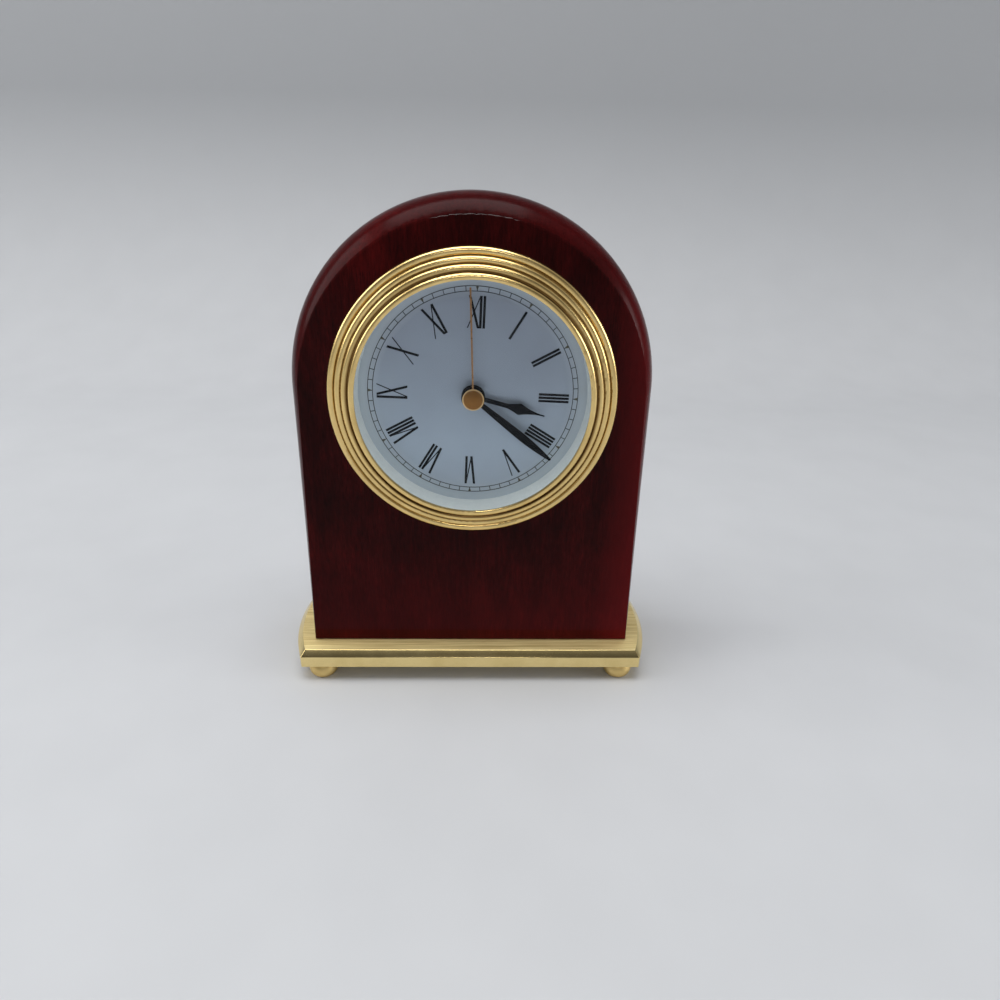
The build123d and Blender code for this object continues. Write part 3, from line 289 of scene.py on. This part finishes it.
# Wood: grains per metre along each axis, and the share of each in the grain's colour
WOOD_CLOUD = (55.0, 55.0, 30.0)
WOOD_RIBBON = (160.0, 160.0, 40.0)
WOOD_FIBRE = (1000.0, 1000.0, 130.0)
WOOD_PORE = (3000.0, 3000.0, 420.0)
WOOD_WAVE = (160.0, 160.0, 60.0)
CLOUD_SHARE = 0.34
RIBBON_SHARE = 0.22
FIBRE_SHARE = 0.26
PORE_SHARE = 0.18
WOOD_SHADES = (
    (0.36, shade(22, 4, 4)),
    (0.47, shade(40, 6, 6)),
    (0.55, shade(53, 8, 8)),
    (0.66, shade(76, 13, 13)),
)
PORE_LEVELS = (0.36, 0.28)
PORE_DARKNESS = 0.55
PORE_SHADE = shade(14, 3, 3)

# Wood: painted light, a lighter red painted where light falls, on the rounds, along the right side
# and near the base.
# Normals say how squarely the surface faces front or back: 1 is square, 0 is edge on.
PAINTED_LIGHT_RED = shade(120, 22, 26)
PAINTED_ROUND_LIGHT_NORMALS = (0.995, 0.75)
PAINTED_ROUND_LIGHT = 0.12
PAINTED_RIGHT_LIGHT_PLACES = (38.0 * MM, 51.0 * MM)
PAINTED_RIGHT_LIGHT = 0.42
PAINTED_RIGHT_LIGHT_FRONT = 0.75
PAINTED_RIGHT_LIGHT_SIDE = 0.25
PAINTED_LOW_LIGHT_PLACES = (48.0 * MM, 10.0 * MM)
PAINTED_LOW_LIGHT = 0.14

# Wood: where its gloss is clear, on the sides, the back and the upper crease, and where it is soft
SIDE_NORMALS = (0.26, 0.10)
BACK_NORMALS = (0.30, 0.90)
SIDE_COAT = 0.6
CREASE_START_NORMALS = (0.99, 0.95)
CREASE_END_NORMALS = (0.84, 0.88)
CREASE_RISES = (0.05, 0.60)
COAT_ROUGHNESS = 0.07
WOOD_SPECULAR = 0.06
WOOD_ROUGHNESS = 0.05
FIBRE_LEVELS = (0.4, 0.8)
FIBRE_ROUGHNESS = 0.04
ROUND_NORMALS = (0.90, 0.80)
ROUND_ROUGHNESS = 0.15
WAVE_BUMP = (0.02 * MM, 0.25)


def wood_finish():
    """Dark red wood with upright grain under a clear gloss, and painted light: a lighter red on its
    rounds, its right side and near the base.
    """
    wood = Finish("dark_red_gloss_wood")
    cloud = wood.noise(WOOD_CLOUD, CLOUDY)
    ribbon = wood.noise(WOOD_RIBBON, CLOUDY)
    fibre = wood.noise(WOOD_FIBRE, CLOUDY)
    pore = wood.noise(WOOD_PORE, SOFT)
    wave = wood.noise(WOOD_WAVE, SMOOTH)
    grain = cloud * CLOUD_SHARE + ribbon * RIBBON_SHARE + fibre * FIBRE_SHARE + pore * PORE_SHARE
    ground = wood.ramp(grain, WOOD_SHADES)
    aged = wood.blend(wood.between(pore, *PORE_LEVELS) * PORE_DARKNESS, ground, PORE_SHADE)

    across = wood.node("Math", {"operation": "ABSOLUTE"}, {0: wood.normal("Y")})
    # Painted light: a lighter red where light falls, on the rounds, along the right side and near
    # the base.
    painted_round_light = wood.between(across, *PAINTED_ROUND_LIGHT_NORMALS) * PAINTED_ROUND_LIGHT
    painted_right_light = wood.between(wood.axis(wood.place, "X"), *PAINTED_RIGHT_LIGHT_PLACES) * PAINTED_RIGHT_LIGHT
    painted_low_light = wood.between(wood.axis(wood.place, "Z"), *PAINTED_LOW_LIGHT_PLACES) * PAINTED_LOW_LIGHT
    red = painted_round_light + painted_right_light * (across * PAINTED_RIGHT_LIGHT_FRONT + PAINTED_RIGHT_LIGHT_SIDE) + painted_low_light

    upward = wood.between(wood.normal("Z"), *CREASE_RISES)
    crease = wood.between(across, *CREASE_START_NORMALS) * wood.between(across, *CREASE_END_NORMALS)
    back = wood.between(wood.normal("Y"), *BACK_NORMALS)
    sides = wood.between(across, *SIDE_NORMALS) + back
    fibre_rough = wood.between(fibre, *FIBRE_LEVELS) * FIBRE_ROUGHNESS
    round_rough = wood.between(across, *ROUND_NORMALS) * ROUND_ROUGHNESS
    return wood.surface(
        {
            "Base Color": wood.blend(red, aged, PAINTED_LIGHT_RED),
            "Roughness": WOOD_ROUGHNESS + fibre_rough + round_rough,
            "Specular IOR Level": WOOD_SPECULAR,
            "Coat Weight": crease * upward + sides * SIDE_COAT,
            "Coat Roughness": COAT_ROUGHNESS,
            "Normal": wood.bump(wave, *WAVE_BUMP),
        }
    )


BRASS_CLOUD = 140.0


def brass_colour(brass, dark, light):
    """Gold that darkens a little in soft clouds."""
    return brass.tone(brass.noise(even(BRASS_CLOUD), CLOUDY), dark, light)


# Bezel: its face's width, and where the shade painted into each groove starts, is darkest, fades
# and ends on the way inwards
BEZEL_WIDTH = 7.9 * MM
BEZEL_SHADED_GROOVES = (
    (0.22, 0.255, 0.275, 0.29),
    (0.455, 0.50, 0.52, 0.54),
    (0.65, 0.72, 0.79, 0.825),
)
GROOVE_PAINTED_SHADE = 0.88
GROOVE_SHADE_GOLD = (0.16, 0.07, 0.012, 1.0)
BEZEL_GOLD = ((0.76, 0.54, 0.215, 1.0), (0.92, 0.68, 0.29, 1.0))
LATHE_RINGS = (16000.0, 16000.0, 1.0)
LATHE_SPECKS = 5200.0
RING_SHARE = 0.8
SPECK_SHARE = 0.2
BEZEL_ROUGHNESS = 0.17
BEZEL_ROUGHNESS_SPREAD = 0.12
BEZEL_BUMP = (0.003 * MM, 0.3)


def bezel_finish():
    """Gold turned on a lathe: fine rings about the clock's axis, with shade painted darker into
    each groove.
    """
    brass = Finish("turned_brass")
    reach = brass.polar(clock_centre())
    depth = brass.axis(brass.place, "Y")
    ring = brass.node("CombineXYZ", {}, {0: reach, 1: depth, 2: 0.0})
    rings = brass.noise(LATHE_RINGS, FINE, ring)
    speck = brass.noise(even(LATHE_SPECKS), SMOOTH)
    height = rings * RING_SHARE + speck * SPECK_SHARE
    low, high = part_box("bezel")
    outer = (high.x - low.x) / 2
    inward = brass.between(reach, outer, outer - BEZEL_WIDTH)
    # Painted shade: the gold is darkened in each groove, where shade falls.
    groove_shade = sum(
        brass.between(inward, start, dark) * brass.between(inward, end, fade)
        for start, dark, fade, end in BEZEL_SHADED_GROOVES
    )
    gold = brass_colour(brass, *BEZEL_GOLD)
    return brass.surface(
        {
            "Base Color": brass.blend(groove_shade * GROOVE_PAINTED_SHADE, gold, GROOVE_SHADE_GOLD),
            "Metallic": 1.0,
            "Roughness": BEZEL_ROUGHNESS + height * BEZEL_ROUGHNESS_SPREAD,
            "Normal": brass.bump(height, *BEZEL_BUMP),
        }
    )


# Base plate: brushed where it faces up, polished elsewhere
BASE_TOP_NORMALS = (0.90, 0.99)
BASE_LINES = (45.0, 3000.0, 3000.0)
BASE_SMUDGES = 220.0
POLISHED_GOLD = ((0.80, 0.62, 0.27, 1.0), (0.93, 0.74, 0.35, 1.0))
BRUSHED_GOLD = ((0.34, (0.70, 0.53, 0.22, 1.0)), (0.62, (1.0, 0.86, 0.47, 1.0)))
POLISHED_ROUGHNESS = 0.14
SMUDGE_ROUGHNESS = 0.06
BRUSHED_ROUGHNESS = 0.34
LINE_ROUGHNESS = 0.20
BASE_BUMP = (0.020 * MM, 0.8)


def base_finish():
    """Gold plate, brushed lengthwise on its top and polished on its edges."""
    brass = Finish("brushed_brass")
    upward = brass.between(brass.normal("Z"), *BASE_TOP_NORMALS)
    lines = brass.noise(BASE_LINES, BRUSHED)
    smudge = brass.noise(even(BASE_SMUDGES), CLOUDY)
    edge_rough = POLISHED_ROUGHNESS + smudge * SMUDGE_ROUGHNESS
    top_rough = BRUSHED_ROUGHNESS + lines * LINE_ROUGHNESS
    polished = brass_colour(brass, *POLISHED_GOLD)
    brushed = brass.ramp(lines, BRUSHED_GOLD)
    return brass.surface(
        {
            "Base Color": brass.blend(upward, polished, brushed),
            "Metallic": 1.0,
            "Roughness": edge_rough + upward * top_rough,
            "Normal": brass.bump(lines * upward, *BASE_BUMP),
        }
    )


# Bun feet
FOOT_LINES = (400.0, 400.0, 9000.0)
FOOT_GOLD = ((0.70, 0.52, 0.21, 1.0), (0.84, 0.64, 0.28, 1.0))
FOOT_ROUGHNESS = 0.42
FOOT_ROUGHNESS_SPREAD = 0.16
FOOT_BUMP = (0.004 * MM, 0.4)


def foot_finish():
    """Turned gold of the bun feet."""
    brass = Finish("foot_brass")
    lines = brass.noise(FOOT_LINES, FINE)
    return brass.surface(
        {
            "Base Color": brass_colour(brass, *FOOT_GOLD),
            "Metallic": 1.0,
            "Roughness": FOOT_ROUGHNESS + lines * FOOT_ROUGHNESS_SPREAD,
            "Normal": brass.bump(lines, *FOOT_BUMP),
        }
    )


# Dial: painted light and shade, a little paler towards its foot and darker towards its top, and
# paler still towards its rim, where it lifts the reflector ring's shadow
DIAL_SPARKLE = 9000.0
DIAL_CLOUD = 45.0
DIAL_LIGHT_AND_SHADE_RISES = (26.0 * MM, -14.0 * MM)
DIAL_CLOUD_SHARE = 0.35
DIAL_SPARKLE_SHARE = 0.25
DIAL_LIGHT_AND_SHADE_SHARE = 0.4
DIAL_SHADES = ((0.30, shade(158, 164, 181)), (0.75, shade(186, 199, 216)))
DIAL_RIM_LIGHT_REACHES = (26.5 * MM, 31.0 * MM)
DIAL_RIM_LIGHT_SHARE = 0.6
DIAL_RIM_LIGHT_SHADE = shade(222, 230, 238)
DIAL_METAL = 0.55
DIAL_ROUGHNESS = 0.36
DIAL_ROUGHNESS_SPREAD = 0.14
DIAL_BUMP = (0.002 * MM, 0.3)


def dial_finish():
    """Silvered dial: satin paint with a fine metal sparkle, and painted light and shade that pale
    it towards its foot and its rim.
    """
    silver = Finish("silvered_dial")
    sparkle = silver.noise(even(DIAL_SPARKLE), FINE)
    cloud = silver.noise(even(DIAL_CLOUD), SOFT)
    # Painted shade and light: darker towards the top, paler towards the foot.
    rise = silver.axis(silver.place, "Z") - clock_centre().z
    painted_light_and_shade = silver.between(rise, *DIAL_LIGHT_AND_SHADE_RISES)
    tone = cloud * DIAL_CLOUD_SHARE + sparkle * DIAL_SPARKLE_SHARE + painted_light_and_shade * DIAL_LIGHT_AND_SHADE_SHARE
    colour = silver.ramp(tone, DIAL_SHADES)
    # Painted light: paler towards the rim, lifting the shadow of the reflector ring.
    painted_rim_light = silver.between(silver.polar(clock_centre()), *DIAL_RIM_LIGHT_REACHES)
    return silver.surface(
        {
            "Base Color": silver.blend(painted_rim_light * DIAL_RIM_LIGHT_SHARE, colour, DIAL_RIM_LIGHT_SHADE),
            "Metallic": DIAL_METAL,
            "Roughness": DIAL_ROUGHNESS + sparkle * DIAL_ROUGHNESS_SPREAD,
            "Normal": silver.bump(sparkle, *DIAL_BUMP),
        }
    )


# Lens
LENS_SMEARS = 60.0
LENS_TINT = (0.97, 0.985, 0.985, 1.0)
LENS_GLOSS_COLOUR = (1.0, 1.0, 1.0, 1.0)
LENS_GLOSS_ROUGHNESS = 0.02
LENS_IOR = 1.45
LENS_GLOSS = 0.20
LENS_SMEAR_GLOSS = 0.08


def glass_finish():
    """Clear flat glass with a thin, slightly smeared gloss."""
    glass = Finish("clear_lens")
    smear = glass.noise(even(LENS_SMEARS), CLOUDY)
    clear = glass.node("BsdfTransparent", {}, {"Color": LENS_TINT})
    gloss = {"Color": LENS_GLOSS_COLOUR, "Roughness": LENS_GLOSS_ROUGHNESS}
    mirror = glass.node("BsdfAnisotropic", {}, gloss)
    slant = glass.node("Fresnel", {}, {"IOR": LENS_IOR})
    share = slant * (LENS_GLOSS + smear * LENS_SMEAR_GLOSS)
    shader = glass.node("MixShader", {}, {0: share, 1: clear, 2: mirror})
    glass.node("OutputMaterial", {}, {"Surface": shader})
    return glass


# Cap of the second hand: the bounds of its painted rim highlight, as shares of its radius
CAP_GRAIN = 1200.0
CAP_GILT = ((0.25, 0.105, 0.026, 1.0), (0.32, 0.145, 0.038, 1.0))
CAP_RIM_HIGHLIGHT_GILT = (0.80, 0.55, 0.28, 1.0)
CAP_RIM_HIGHLIGHT_SHARES = (0.86, 0.92)
CAP_ROUGHNESS = 0.26
CAP_ROUGHNESS_SPREAD = 0.14


def cap_finish():
    """Satin gilt, with a highlight painted bright along its turned rim."""
    gilt = Finish("cap_gilt")
    grain = gilt.noise(even(CAP_GRAIN), CLOUDY)
    low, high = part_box("second_hand_cap")
    radius = (high.x - low.x) / 2
    # Painted highlight: a bright band along the cap's rim, where light catches its edge.
    rim_reaches = [radius * share for share in CAP_RIM_HIGHLIGHT_SHARES]
    rim = gilt.between(gilt.polar(clock_centre()), *rim_reaches)
    return gilt.surface(
        {
            "Base Color": gilt.blend(rim, gilt.tone(grain, *CAP_GILT), CAP_RIM_HIGHLIGHT_GILT),
            "Metallic": 1.0,
            "Roughness": CAP_ROUGHNESS + grain * CAP_ROUGHNESS_SPREAD,
        }
    )


def plain_finish(name, dark, light, grains, rough, spread, metal=0.0, gloss=0.5, bump=None):
    """A moulded, rolled, painted or printed surface: two near colours and a fine grain."""
    finish = Finish(name)
    grain = finish.noise(even(grains), CLOUDY)
    sockets = {
        "Base Color": finish.tone(grain, dark, light),
        "Roughness": rough + grain * spread,
        "Metallic": metal,
        "Specular IOR Level": gloss,
    }
    if bump:
        sockets["Normal"] = finish.bump(grain, *bump)
    return finish.surface(sockets)


MOULDING_BUMP = (0.012 * MM, 0.6)
FINISHES = {
    "lacquered_wood": wood_finish(),
    "satin_brass": foot_finish(),
    "clear_glass": glass_finish(),
    "dial_white": dial_finish(),
    "screw_steel": plain_finish(
        "zinc_screw",
        dark=(0.42, 0.42, 0.43, 1.0),
        light=(0.58, 0.58, 0.58, 1.0),
        grains=900.0, rough=0.24, spread=0.20, metal=1.0,
    ),
    "white_ring": plain_finish(
        "white_ring_plastic",
        dark=shade(232, 237, 237),
        light=shade(240, 244, 243),
        grains=700.0, rough=0.42, spread=0.10,
    ),
    "band_rubber": plain_finish(
        "black_rubber",
        dark=shade(22, 22, 23),
        light=shade(34, 34, 35),
        grains=800.0, rough=0.62, spread=0.20,
    ),
    "black_plastic": plain_finish(
        "black_moulding",
        dark=shade(21, 22, 24),
        light=shade(31, 32, 34),
        grains=2400.0, rough=0.40, spread=0.18, bump=MOULDING_BUMP,
    ),
    "black_hands": plain_finish(
        "hand_black",
        dark=shade(9, 11, 16),
        light=shade(15, 18, 25),
        grains=1500.0, rough=0.28, spread=0.14, gloss=0.03,
    ),
    "gilt_hand": plain_finish(
        "hand_gilt",
        dark=(0.34, 0.18, 0.085, 1.0),
        light=(0.42, 0.235, 0.115, 1.0),
        grains=1200.0, rough=0.22, spread=0.14, metal=1.0,
    ),
    "gear_plastic": plain_finish(
        "gear_white",
        dark=shade(205, 203, 194),
        light=shade(221, 219, 211),
        grains=900.0, rough=0.40, spread=0.14,
    ),
    "magnet": plain_finish(
        "magnet_grey",
        dark=shade(52, 52, 55),
        light=shade(70, 70, 73),
        grains=1500.0, rough=0.46, spread=0.16,
    ),
    "iron_sheet": plain_finish(
        "stator_iron",
        dark=(0.33, 0.33, 0.34, 1.0),
        light=(0.45, 0.45, 0.46, 1.0),
        grains=700.0, rough=0.32, spread=0.18, metal=1.0,
    ),
    "copper_wire": plain_finish(
        "coil_copper",
        dark=(0.62, 0.24, 0.10, 1.0),
        light=(0.78, 0.34, 0.15, 1.0),
        grains=2500.0, rough=0.28, spread=0.18, metal=1.0,
    ),
    "board": plain_finish(
        "board_green",
        dark=shade(26, 78, 48),
        light=shade(38, 96, 60),
        grains=600.0, rough=0.40, spread=0.14,
    ),
    "chip": plain_finish(
        "chip_black",
        dark=shade(25, 25, 26),
        light=shade(36, 36, 37),
        grains=1800.0, rough=0.50, spread=0.16,
    ),
    "crystal_can": plain_finish(
        "can_steel",
        dark=(0.58, 0.58, 0.57, 1.0),
        light=(0.72, 0.72, 0.70, 1.0),
        grains=900.0, rough=0.18, spread=0.14, metal=1.0,
    ),
    "battery_jacket": plain_finish(
        "cell_jacket",
        dark=shade(128, 108, 54),
        light=shade(150, 129, 70),
        grains=500.0, rough=0.30, spread=0.14, metal=0.6,
    ),
    "contact_steel": plain_finish(
        "spring_steel",
        dark=(0.55, 0.55, 0.54, 1.0),
        light=(0.70, 0.70, 0.68, 1.0),
        grains=900.0, rough=0.20, spread=0.16, metal=1.0,
    ),
}
NODE_FINISHES = {
    "bezel": bezel_finish(),
    "base_plate": base_finish(),
    "second_hand_cap": cap_finish(),
}
NUMERAL_INK = plain_finish(
    "numeral_ink",
    dark=shade(12, 14, 20),
    light=shade(20, 22, 29),
    grains=2500.0, rough=0.42, spread=0.12, gloss=0.12,
)
TRACK_INK = plain_finish(
    "track_ink",
    dark=shade(46, 50, 58),
    light=shade(60, 64, 72),
    grains=2500.0, rough=0.45, spread=0.12,
)
WEDGE_INK = plain_finish(
    "wedge_ink",
    dark=shade(104, 98, 76),
    light=shade(126, 118, 92),
    grains=2500.0, rough=0.40, spread=0.12,
)


def dress_nodes():
    """Each solid gets the finish of its slot, or one of its own."""
    for name, node in NODES.items():
        for slot in node.material_slots:
            finish = NODE_FINISHES.get(name) or FINISHES[slot.material.name]
            slot.material = finish.material


def start_mesh(name):
    """A new, empty piece, open for editing."""
    bpy.ops.object.select_all(action="DESELECT")
    bpy.ops.mesh.primitive_plane_add(size=1.0)
    piece = bpy.context.object
    piece.name = name
    piece.data.name = name
    bpy.ops.object.mode_set(mode="EDIT")
    bpy.ops.mesh.delete(type="VERT")
    return piece


def pick(piece, wanted, last=0):
    """Selects the vertices wanted by their place, among the last ones made or, with 0, all."""
    mesh = bmesh.from_edit_mesh(piece.data)
    vertices = list(mesh.verts)
    for vertex in vertices:
        vertex.select = False
    for vertex in vertices[-last:]:
        vertex.select = wanted(vertex.co)
    mesh.select_flush_mode()
    bmesh.update_edit_mesh(piece.data)


def turn_on_dial(angle):
    """Turns what is selected clockwise about the dial's centre."""
    bpy.ops.transform.rotate(value=angle, orient_axis="Z", center_override=(0.0, 0.0, 0.0))


def add_plate(width, low, high, depth):
    """A flat plate on the twelve o'clock line, from its low to its high end."""
    middle = (0.0, (low + high) / 2, -depth)
    bpy.ops.mesh.primitive_plane_add(size=1.0, location=middle)
    bpy.ops.transform.resize(value=(width, high - low, 1.0), center_override=middle)


def add_stroke(piece, outer, inner, width, low, high, depth, angle):
    """One flat stroke from its outer to its inner end, its ends cut square to the hour line."""
    middle = (low + high) / 2
    add_plate(width, low, high, depth)
    pick(piece, lambda place: place.y > middle, PLATE_CORNERS)
    bpy.ops.transform.translate(value=(outer, 0.0, 0.0))
    pick(piece, lambda place: place.y < middle, PLATE_CORNERS)
    bpy.ops.transform.translate(value=(inner, 0.0, 0.0))
    pick(piece, lambda place: True, PLATE_CORNERS)
    turn_on_dial(angle)


def raise_print(piece, ink):
    """Thickens the flat print, sets it on the dial, closes the piece and gives it its ink."""
    bpy.ops.mesh.select_all(action="SELECT")
    bpy.ops.mesh.extrude_region_move(
        TRANSFORM_OT_translate={"value": (0.0, 0.0, (PRINT_HEIGHT + PRINT_SINK) * MM)}
    )
    bpy.ops.mesh.select_all(action="SELECT")
    bpy.ops.mesh.normals_make_consistent(inside=False)
    bpy.ops.object.mode_set(mode="OBJECT")
    upright = turned(QUARTER_TURN, "X") @ turned(-PRINT_TURN, "Z")
    piece.matrix_world = Matrix.Translation(clock_centre()) @ upright
    bpy.ops.object.transform_apply(location=True, rotation=True, scale=True)
    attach(piece, "clock_frame")
    piece.data.materials.append(ink.material)


def numeral_strokes(letters):
    """A numeral's strokes as outer place, inner place and width, centred on its hour."""
    strokes = []
    place = 0.0
    for spot, letter in enumerate(letters):
        if spot:
            place += LETTER_PITCHES[letters[spot - 1 : spot + 1]]
        if letter == "I":
            strokes.append((place, place, THICK_STROKE))
        elif letter == "X":
            strokes.append((place - X_THICK_REACH, place + X_THICK_REACH, THICK_STROKE))
            strokes.append((place + X_THIN_REACH, place - X_THIN_REACH, THIN_STROKE))
        else:
            strokes.append((place - V_THICK_REACH, place, THICK_STROKE))
            strokes.append((place + V_THIN_REACH, place, THIN_STROKE))
    left = min(min(outer, inner) - width / 2 for outer, inner, width in strokes)
    right = max(max(outer, inner) + width / 2 for outer, inner, width in strokes)
    middle = (left + right) / 2
    return [(outer - middle, inner - middle, width) for outer, inner, width in strokes]


def print_numerals():
    """The twelve Roman numerals, each with its foot towards the centre."""
    piece = start_mesh("dial_numerals")
    for hour, letters in enumerate(NUMERALS):
        for order, (outer, inner, width) in enumerate(numeral_strokes(letters)):
            depth = PRINT_SINK + PRINT_STEP * order
            sizes = (outer, inner, width, NUMERAL_INNER, NUMERAL_OUTER, depth)
            add_stroke(piece, *(size * MM for size in sizes), FULL_TURN * hour / HOURS)
    raise_print(piece, NUMERAL_INK)


def add_ring(radius, width, depth):
    """A flat ring of this radius and line width about the dial's centre."""
    inner = radius - width / 2
    centre = (0.0, 0.0, -depth)
    bpy.ops.mesh.primitive_circle_add(vertices=TRACK_SIDES, radius=inner, location=centre)
    bpy.ops.mesh.extrude_edges_move()
    growth = (radius + width / 2) / inner
    bpy.ops.transform.resize(value=(growth, growth, 1.0), center_override=centre)


def print_track():
    """The minute track: two circles and a tick for each minute."""
    piece = start_mesh("dial_minute_track")
    add_ring(TRACK_OUTER * MM, TRACK_LINE * MM, PRINT_SINK * MM)
    add_ring(TRACK_INNER * MM, TRACK_LINE * MM, PRINT_SINK * MM)
    depth = PRINT_SINK + PRINT_STEP * TICK_LAYER
    for minute in range(MINUTES):
        sizes = (0.0, 0.0, TRACK_LINE, TRACK_INNER, TRACK_OUTER, depth)
        add_stroke(piece, *(size * MM for size in sizes), FULL_TURN * minute / MINUTES)
    raise_print(piece, TRACK_INK)


def print_wedges():
    """Small gilt wedges on the track, one for each hour, pointing at the centre."""
    piece = start_mesh("dial_hour_wedges")
    depth = (PRINT_SINK + PRINT_STEP * WEDGE_LAYER) * MM
    high = TRACK_OUTER * MM
    low = (TRACK_OUTER - WEDGE_LENGTH) * MM
    middle = (low + high) / 2
    narrow = (TRACK_LINE / WEDGE_WIDTH, 1.0, 1.0)
    for hour in range(HOURS):
        add_plate(WEDGE_WIDTH * MM, low, high, depth)
        pick(piece, lambda place: place.y < middle, PLATE_CORNERS)
        bpy.ops.transform.resize(value=narrow, center_override=(0.0, low, -depth))
        pick(piece, lambda place: True, PLATE_CORNERS)
        turn_on_dial(FULL_TURN * hour / HOURS)
    raise_print(piece, WEDGE_INK)


def soften_base():
    """The base plate again, with a small round along its edges that catches the light."""
    bpy.ops.object.select_all(action="DESELECT")
    piece = bpy.data.objects.new("base_plate_rounded", NODES["base_plate"].data.copy())
    bpy.context.scene.collection.objects.link(piece)
    piece.select_set(True)
    bpy.context.view_layer.objects.active = piece
    bpy.ops.mesh.customdata_custom_splitnormals_clear()
    bpy.ops.object.mode_set(mode="EDIT")
    bpy.ops.mesh.select_all(action="SELECT")
    bpy.ops.mesh.remove_doubles(threshold=MERGE_GAP)
    bpy.ops.mesh.dissolve_limited(angle_limit=FLAT_ANGLE)
    bpy.ops.object.mode_set(mode="OBJECT")
    bpy.ops.object.modifier_add(type="BEVEL")
    bevel = piece.modifiers[-1]
    bevel.width = BASE_EDGE_ROUND
    bevel.segments = BASE_EDGE_STEPS
    bevel.limit_method = "ANGLE"
    bevel.angle_limit = EDGE_ANGLE
    bevel.harden_normals = False
    bpy.ops.object.modifier_apply(modifier=bevel.name)
    bpy.ops.object.shade_smooth_by_angle(angle=EDGE_ANGLE)
    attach(piece, "clock_frame")
    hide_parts("base_plate")


FLOOR_CLOUDS = 30.0
FLOOR_SHADES = ((0.3, shade(200, 202, 205)), (0.7, shade(203, 205, 208)))
WALL_SHADE = shade(160, 162, 165)


def lay_stage():
    """The pale floor, swept up into a slightly darker wall behind the clock."""
    bpy.ops.object.select_all(action="DESELECT")
    middle = (0.0, STAGE_BACK - STAGE_SIDE / 2, 0.0)
    bpy.ops.mesh.primitive_plane_add(size=STAGE_SIDE, location=middle)
    floor = bpy.context.object
    floor.name = "pale_floor"
    bpy.ops.object.transform_apply(location=True)
    bpy.ops.object.mode_set(mode="EDIT")
    bpy.ops.mesh.select_mode(type="VERT")
    pick(floor, lambda place: place.y > 0.0)
    bpy.ops.mesh.extrude_region_move(TRANSFORM_OT_translate={"value": (0.0, 0.0, STAGE_HEIGHT)})
    pick(floor, lambda place: place.y > 0.0 and place.z < STAGE_SWEEP)
    bpy.ops.mesh.bevel(offset=STAGE_SWEEP, segments=STAGE_SWEEP_STEPS)
    bpy.ops.object.mode_set(mode="OBJECT")
    bpy.ops.object.shade_smooth()
    board = Finish("pale_board")
    cloud = board.noise(even(FLOOR_CLOUDS), SOFT)
    ground = board.ramp(cloud, FLOOR_SHADES)
    rise = board.between(board.axis(board.place, "Z"), 0.0, STAGE_SWEEP)
    colour = board.blend(rise, ground, WALL_SHADE)
    board.surface({"Base Color": colour, "Roughness": STAGE_ROUGHNESS})
    floor.data.materials.append(board.material)


def hang_lamps():
    """Softboxes in front, at both sides and overhead."""
    for name, place, target, width, height, radiance in LAMPS:
        lamp = bpy.data.lights.new(name, "AREA")
        lamp.shape = "RECTANGLE"
        lamp.size = width
        lamp.size_y = height
        lamp.energy = radiance * math.pi * width * height
        holder = bpy.data.objects.new(name, lamp)
        holder.location = place
        aim = Vector(target) - Vector(place)
        holder.rotation_euler = aim.to_track_quat("-Z", "Y").to_euler()
        bpy.context.scene.collection.objects.link(holder)


def paint_sky():
    """A grey sky, brightest overhead and dimmer in front of the clock."""
    world = bpy.data.worlds.new("soft_sky")
    world.use_nodes = True
    bpy.context.scene.world = world
    sky = Nodes(world.node_tree)
    direction = sky.node("TexCoord", {}, {}, "Generated")
    height = sky.axis(direction, "Z")
    stops = tuple((place, (level, level, level * SKY_BLUE, 1.0)) for place, level in SKY_STOPS)
    colour = sky.ramp(height, stops)
    front = sky.between(sky.axis(direction, "Y"), *SKY_FRONT_DEPTHS)
    low_share, high_share = SKY_FRONT_SHARES
    lift = sky.between(height, *SKY_FRONT_HEIGHTS)
    share = low_share + lift * (high_share - low_share)
    strength = 1.0 - front * (1.0 - share)
    shine = sky.node("Background", {}, {"Color": colour, "Strength": strength})
    sky.node("OutputWorld", {}, {"Surface": shine})


def stand_camera():
    """The camera at the photograph's place, with its aim and its roll."""
    camera = bpy.data.cameras.new("camera")
    camera.sensor_width = CAMERA_SENSOR
    camera.lens = CAMERA_LENS
    camera.clip_start = CAMERA_NEAR
    holder = bpy.data.objects.new("camera", camera)
    bpy.context.scene.collection.objects.link(holder)
    aim = turned(-CAMERA_YAW, "Z") @ turned(QUARTER_TURN - CAMERA_PITCH, "X")
    holder.matrix_world = Matrix.Translation(CAMERA_PLACE) @ aim @ turned(CAMERA_ROLL, "Z")
    bpy.context.scene.camera = holder


stand_camera()
hang_lamps()
paint_sky()
lay_stage()
dress_nodes()
print_track()
print_wedges()
print_numerals()
soften_base()
bpy.context.scene.view_settings.view_transform = "Standard"
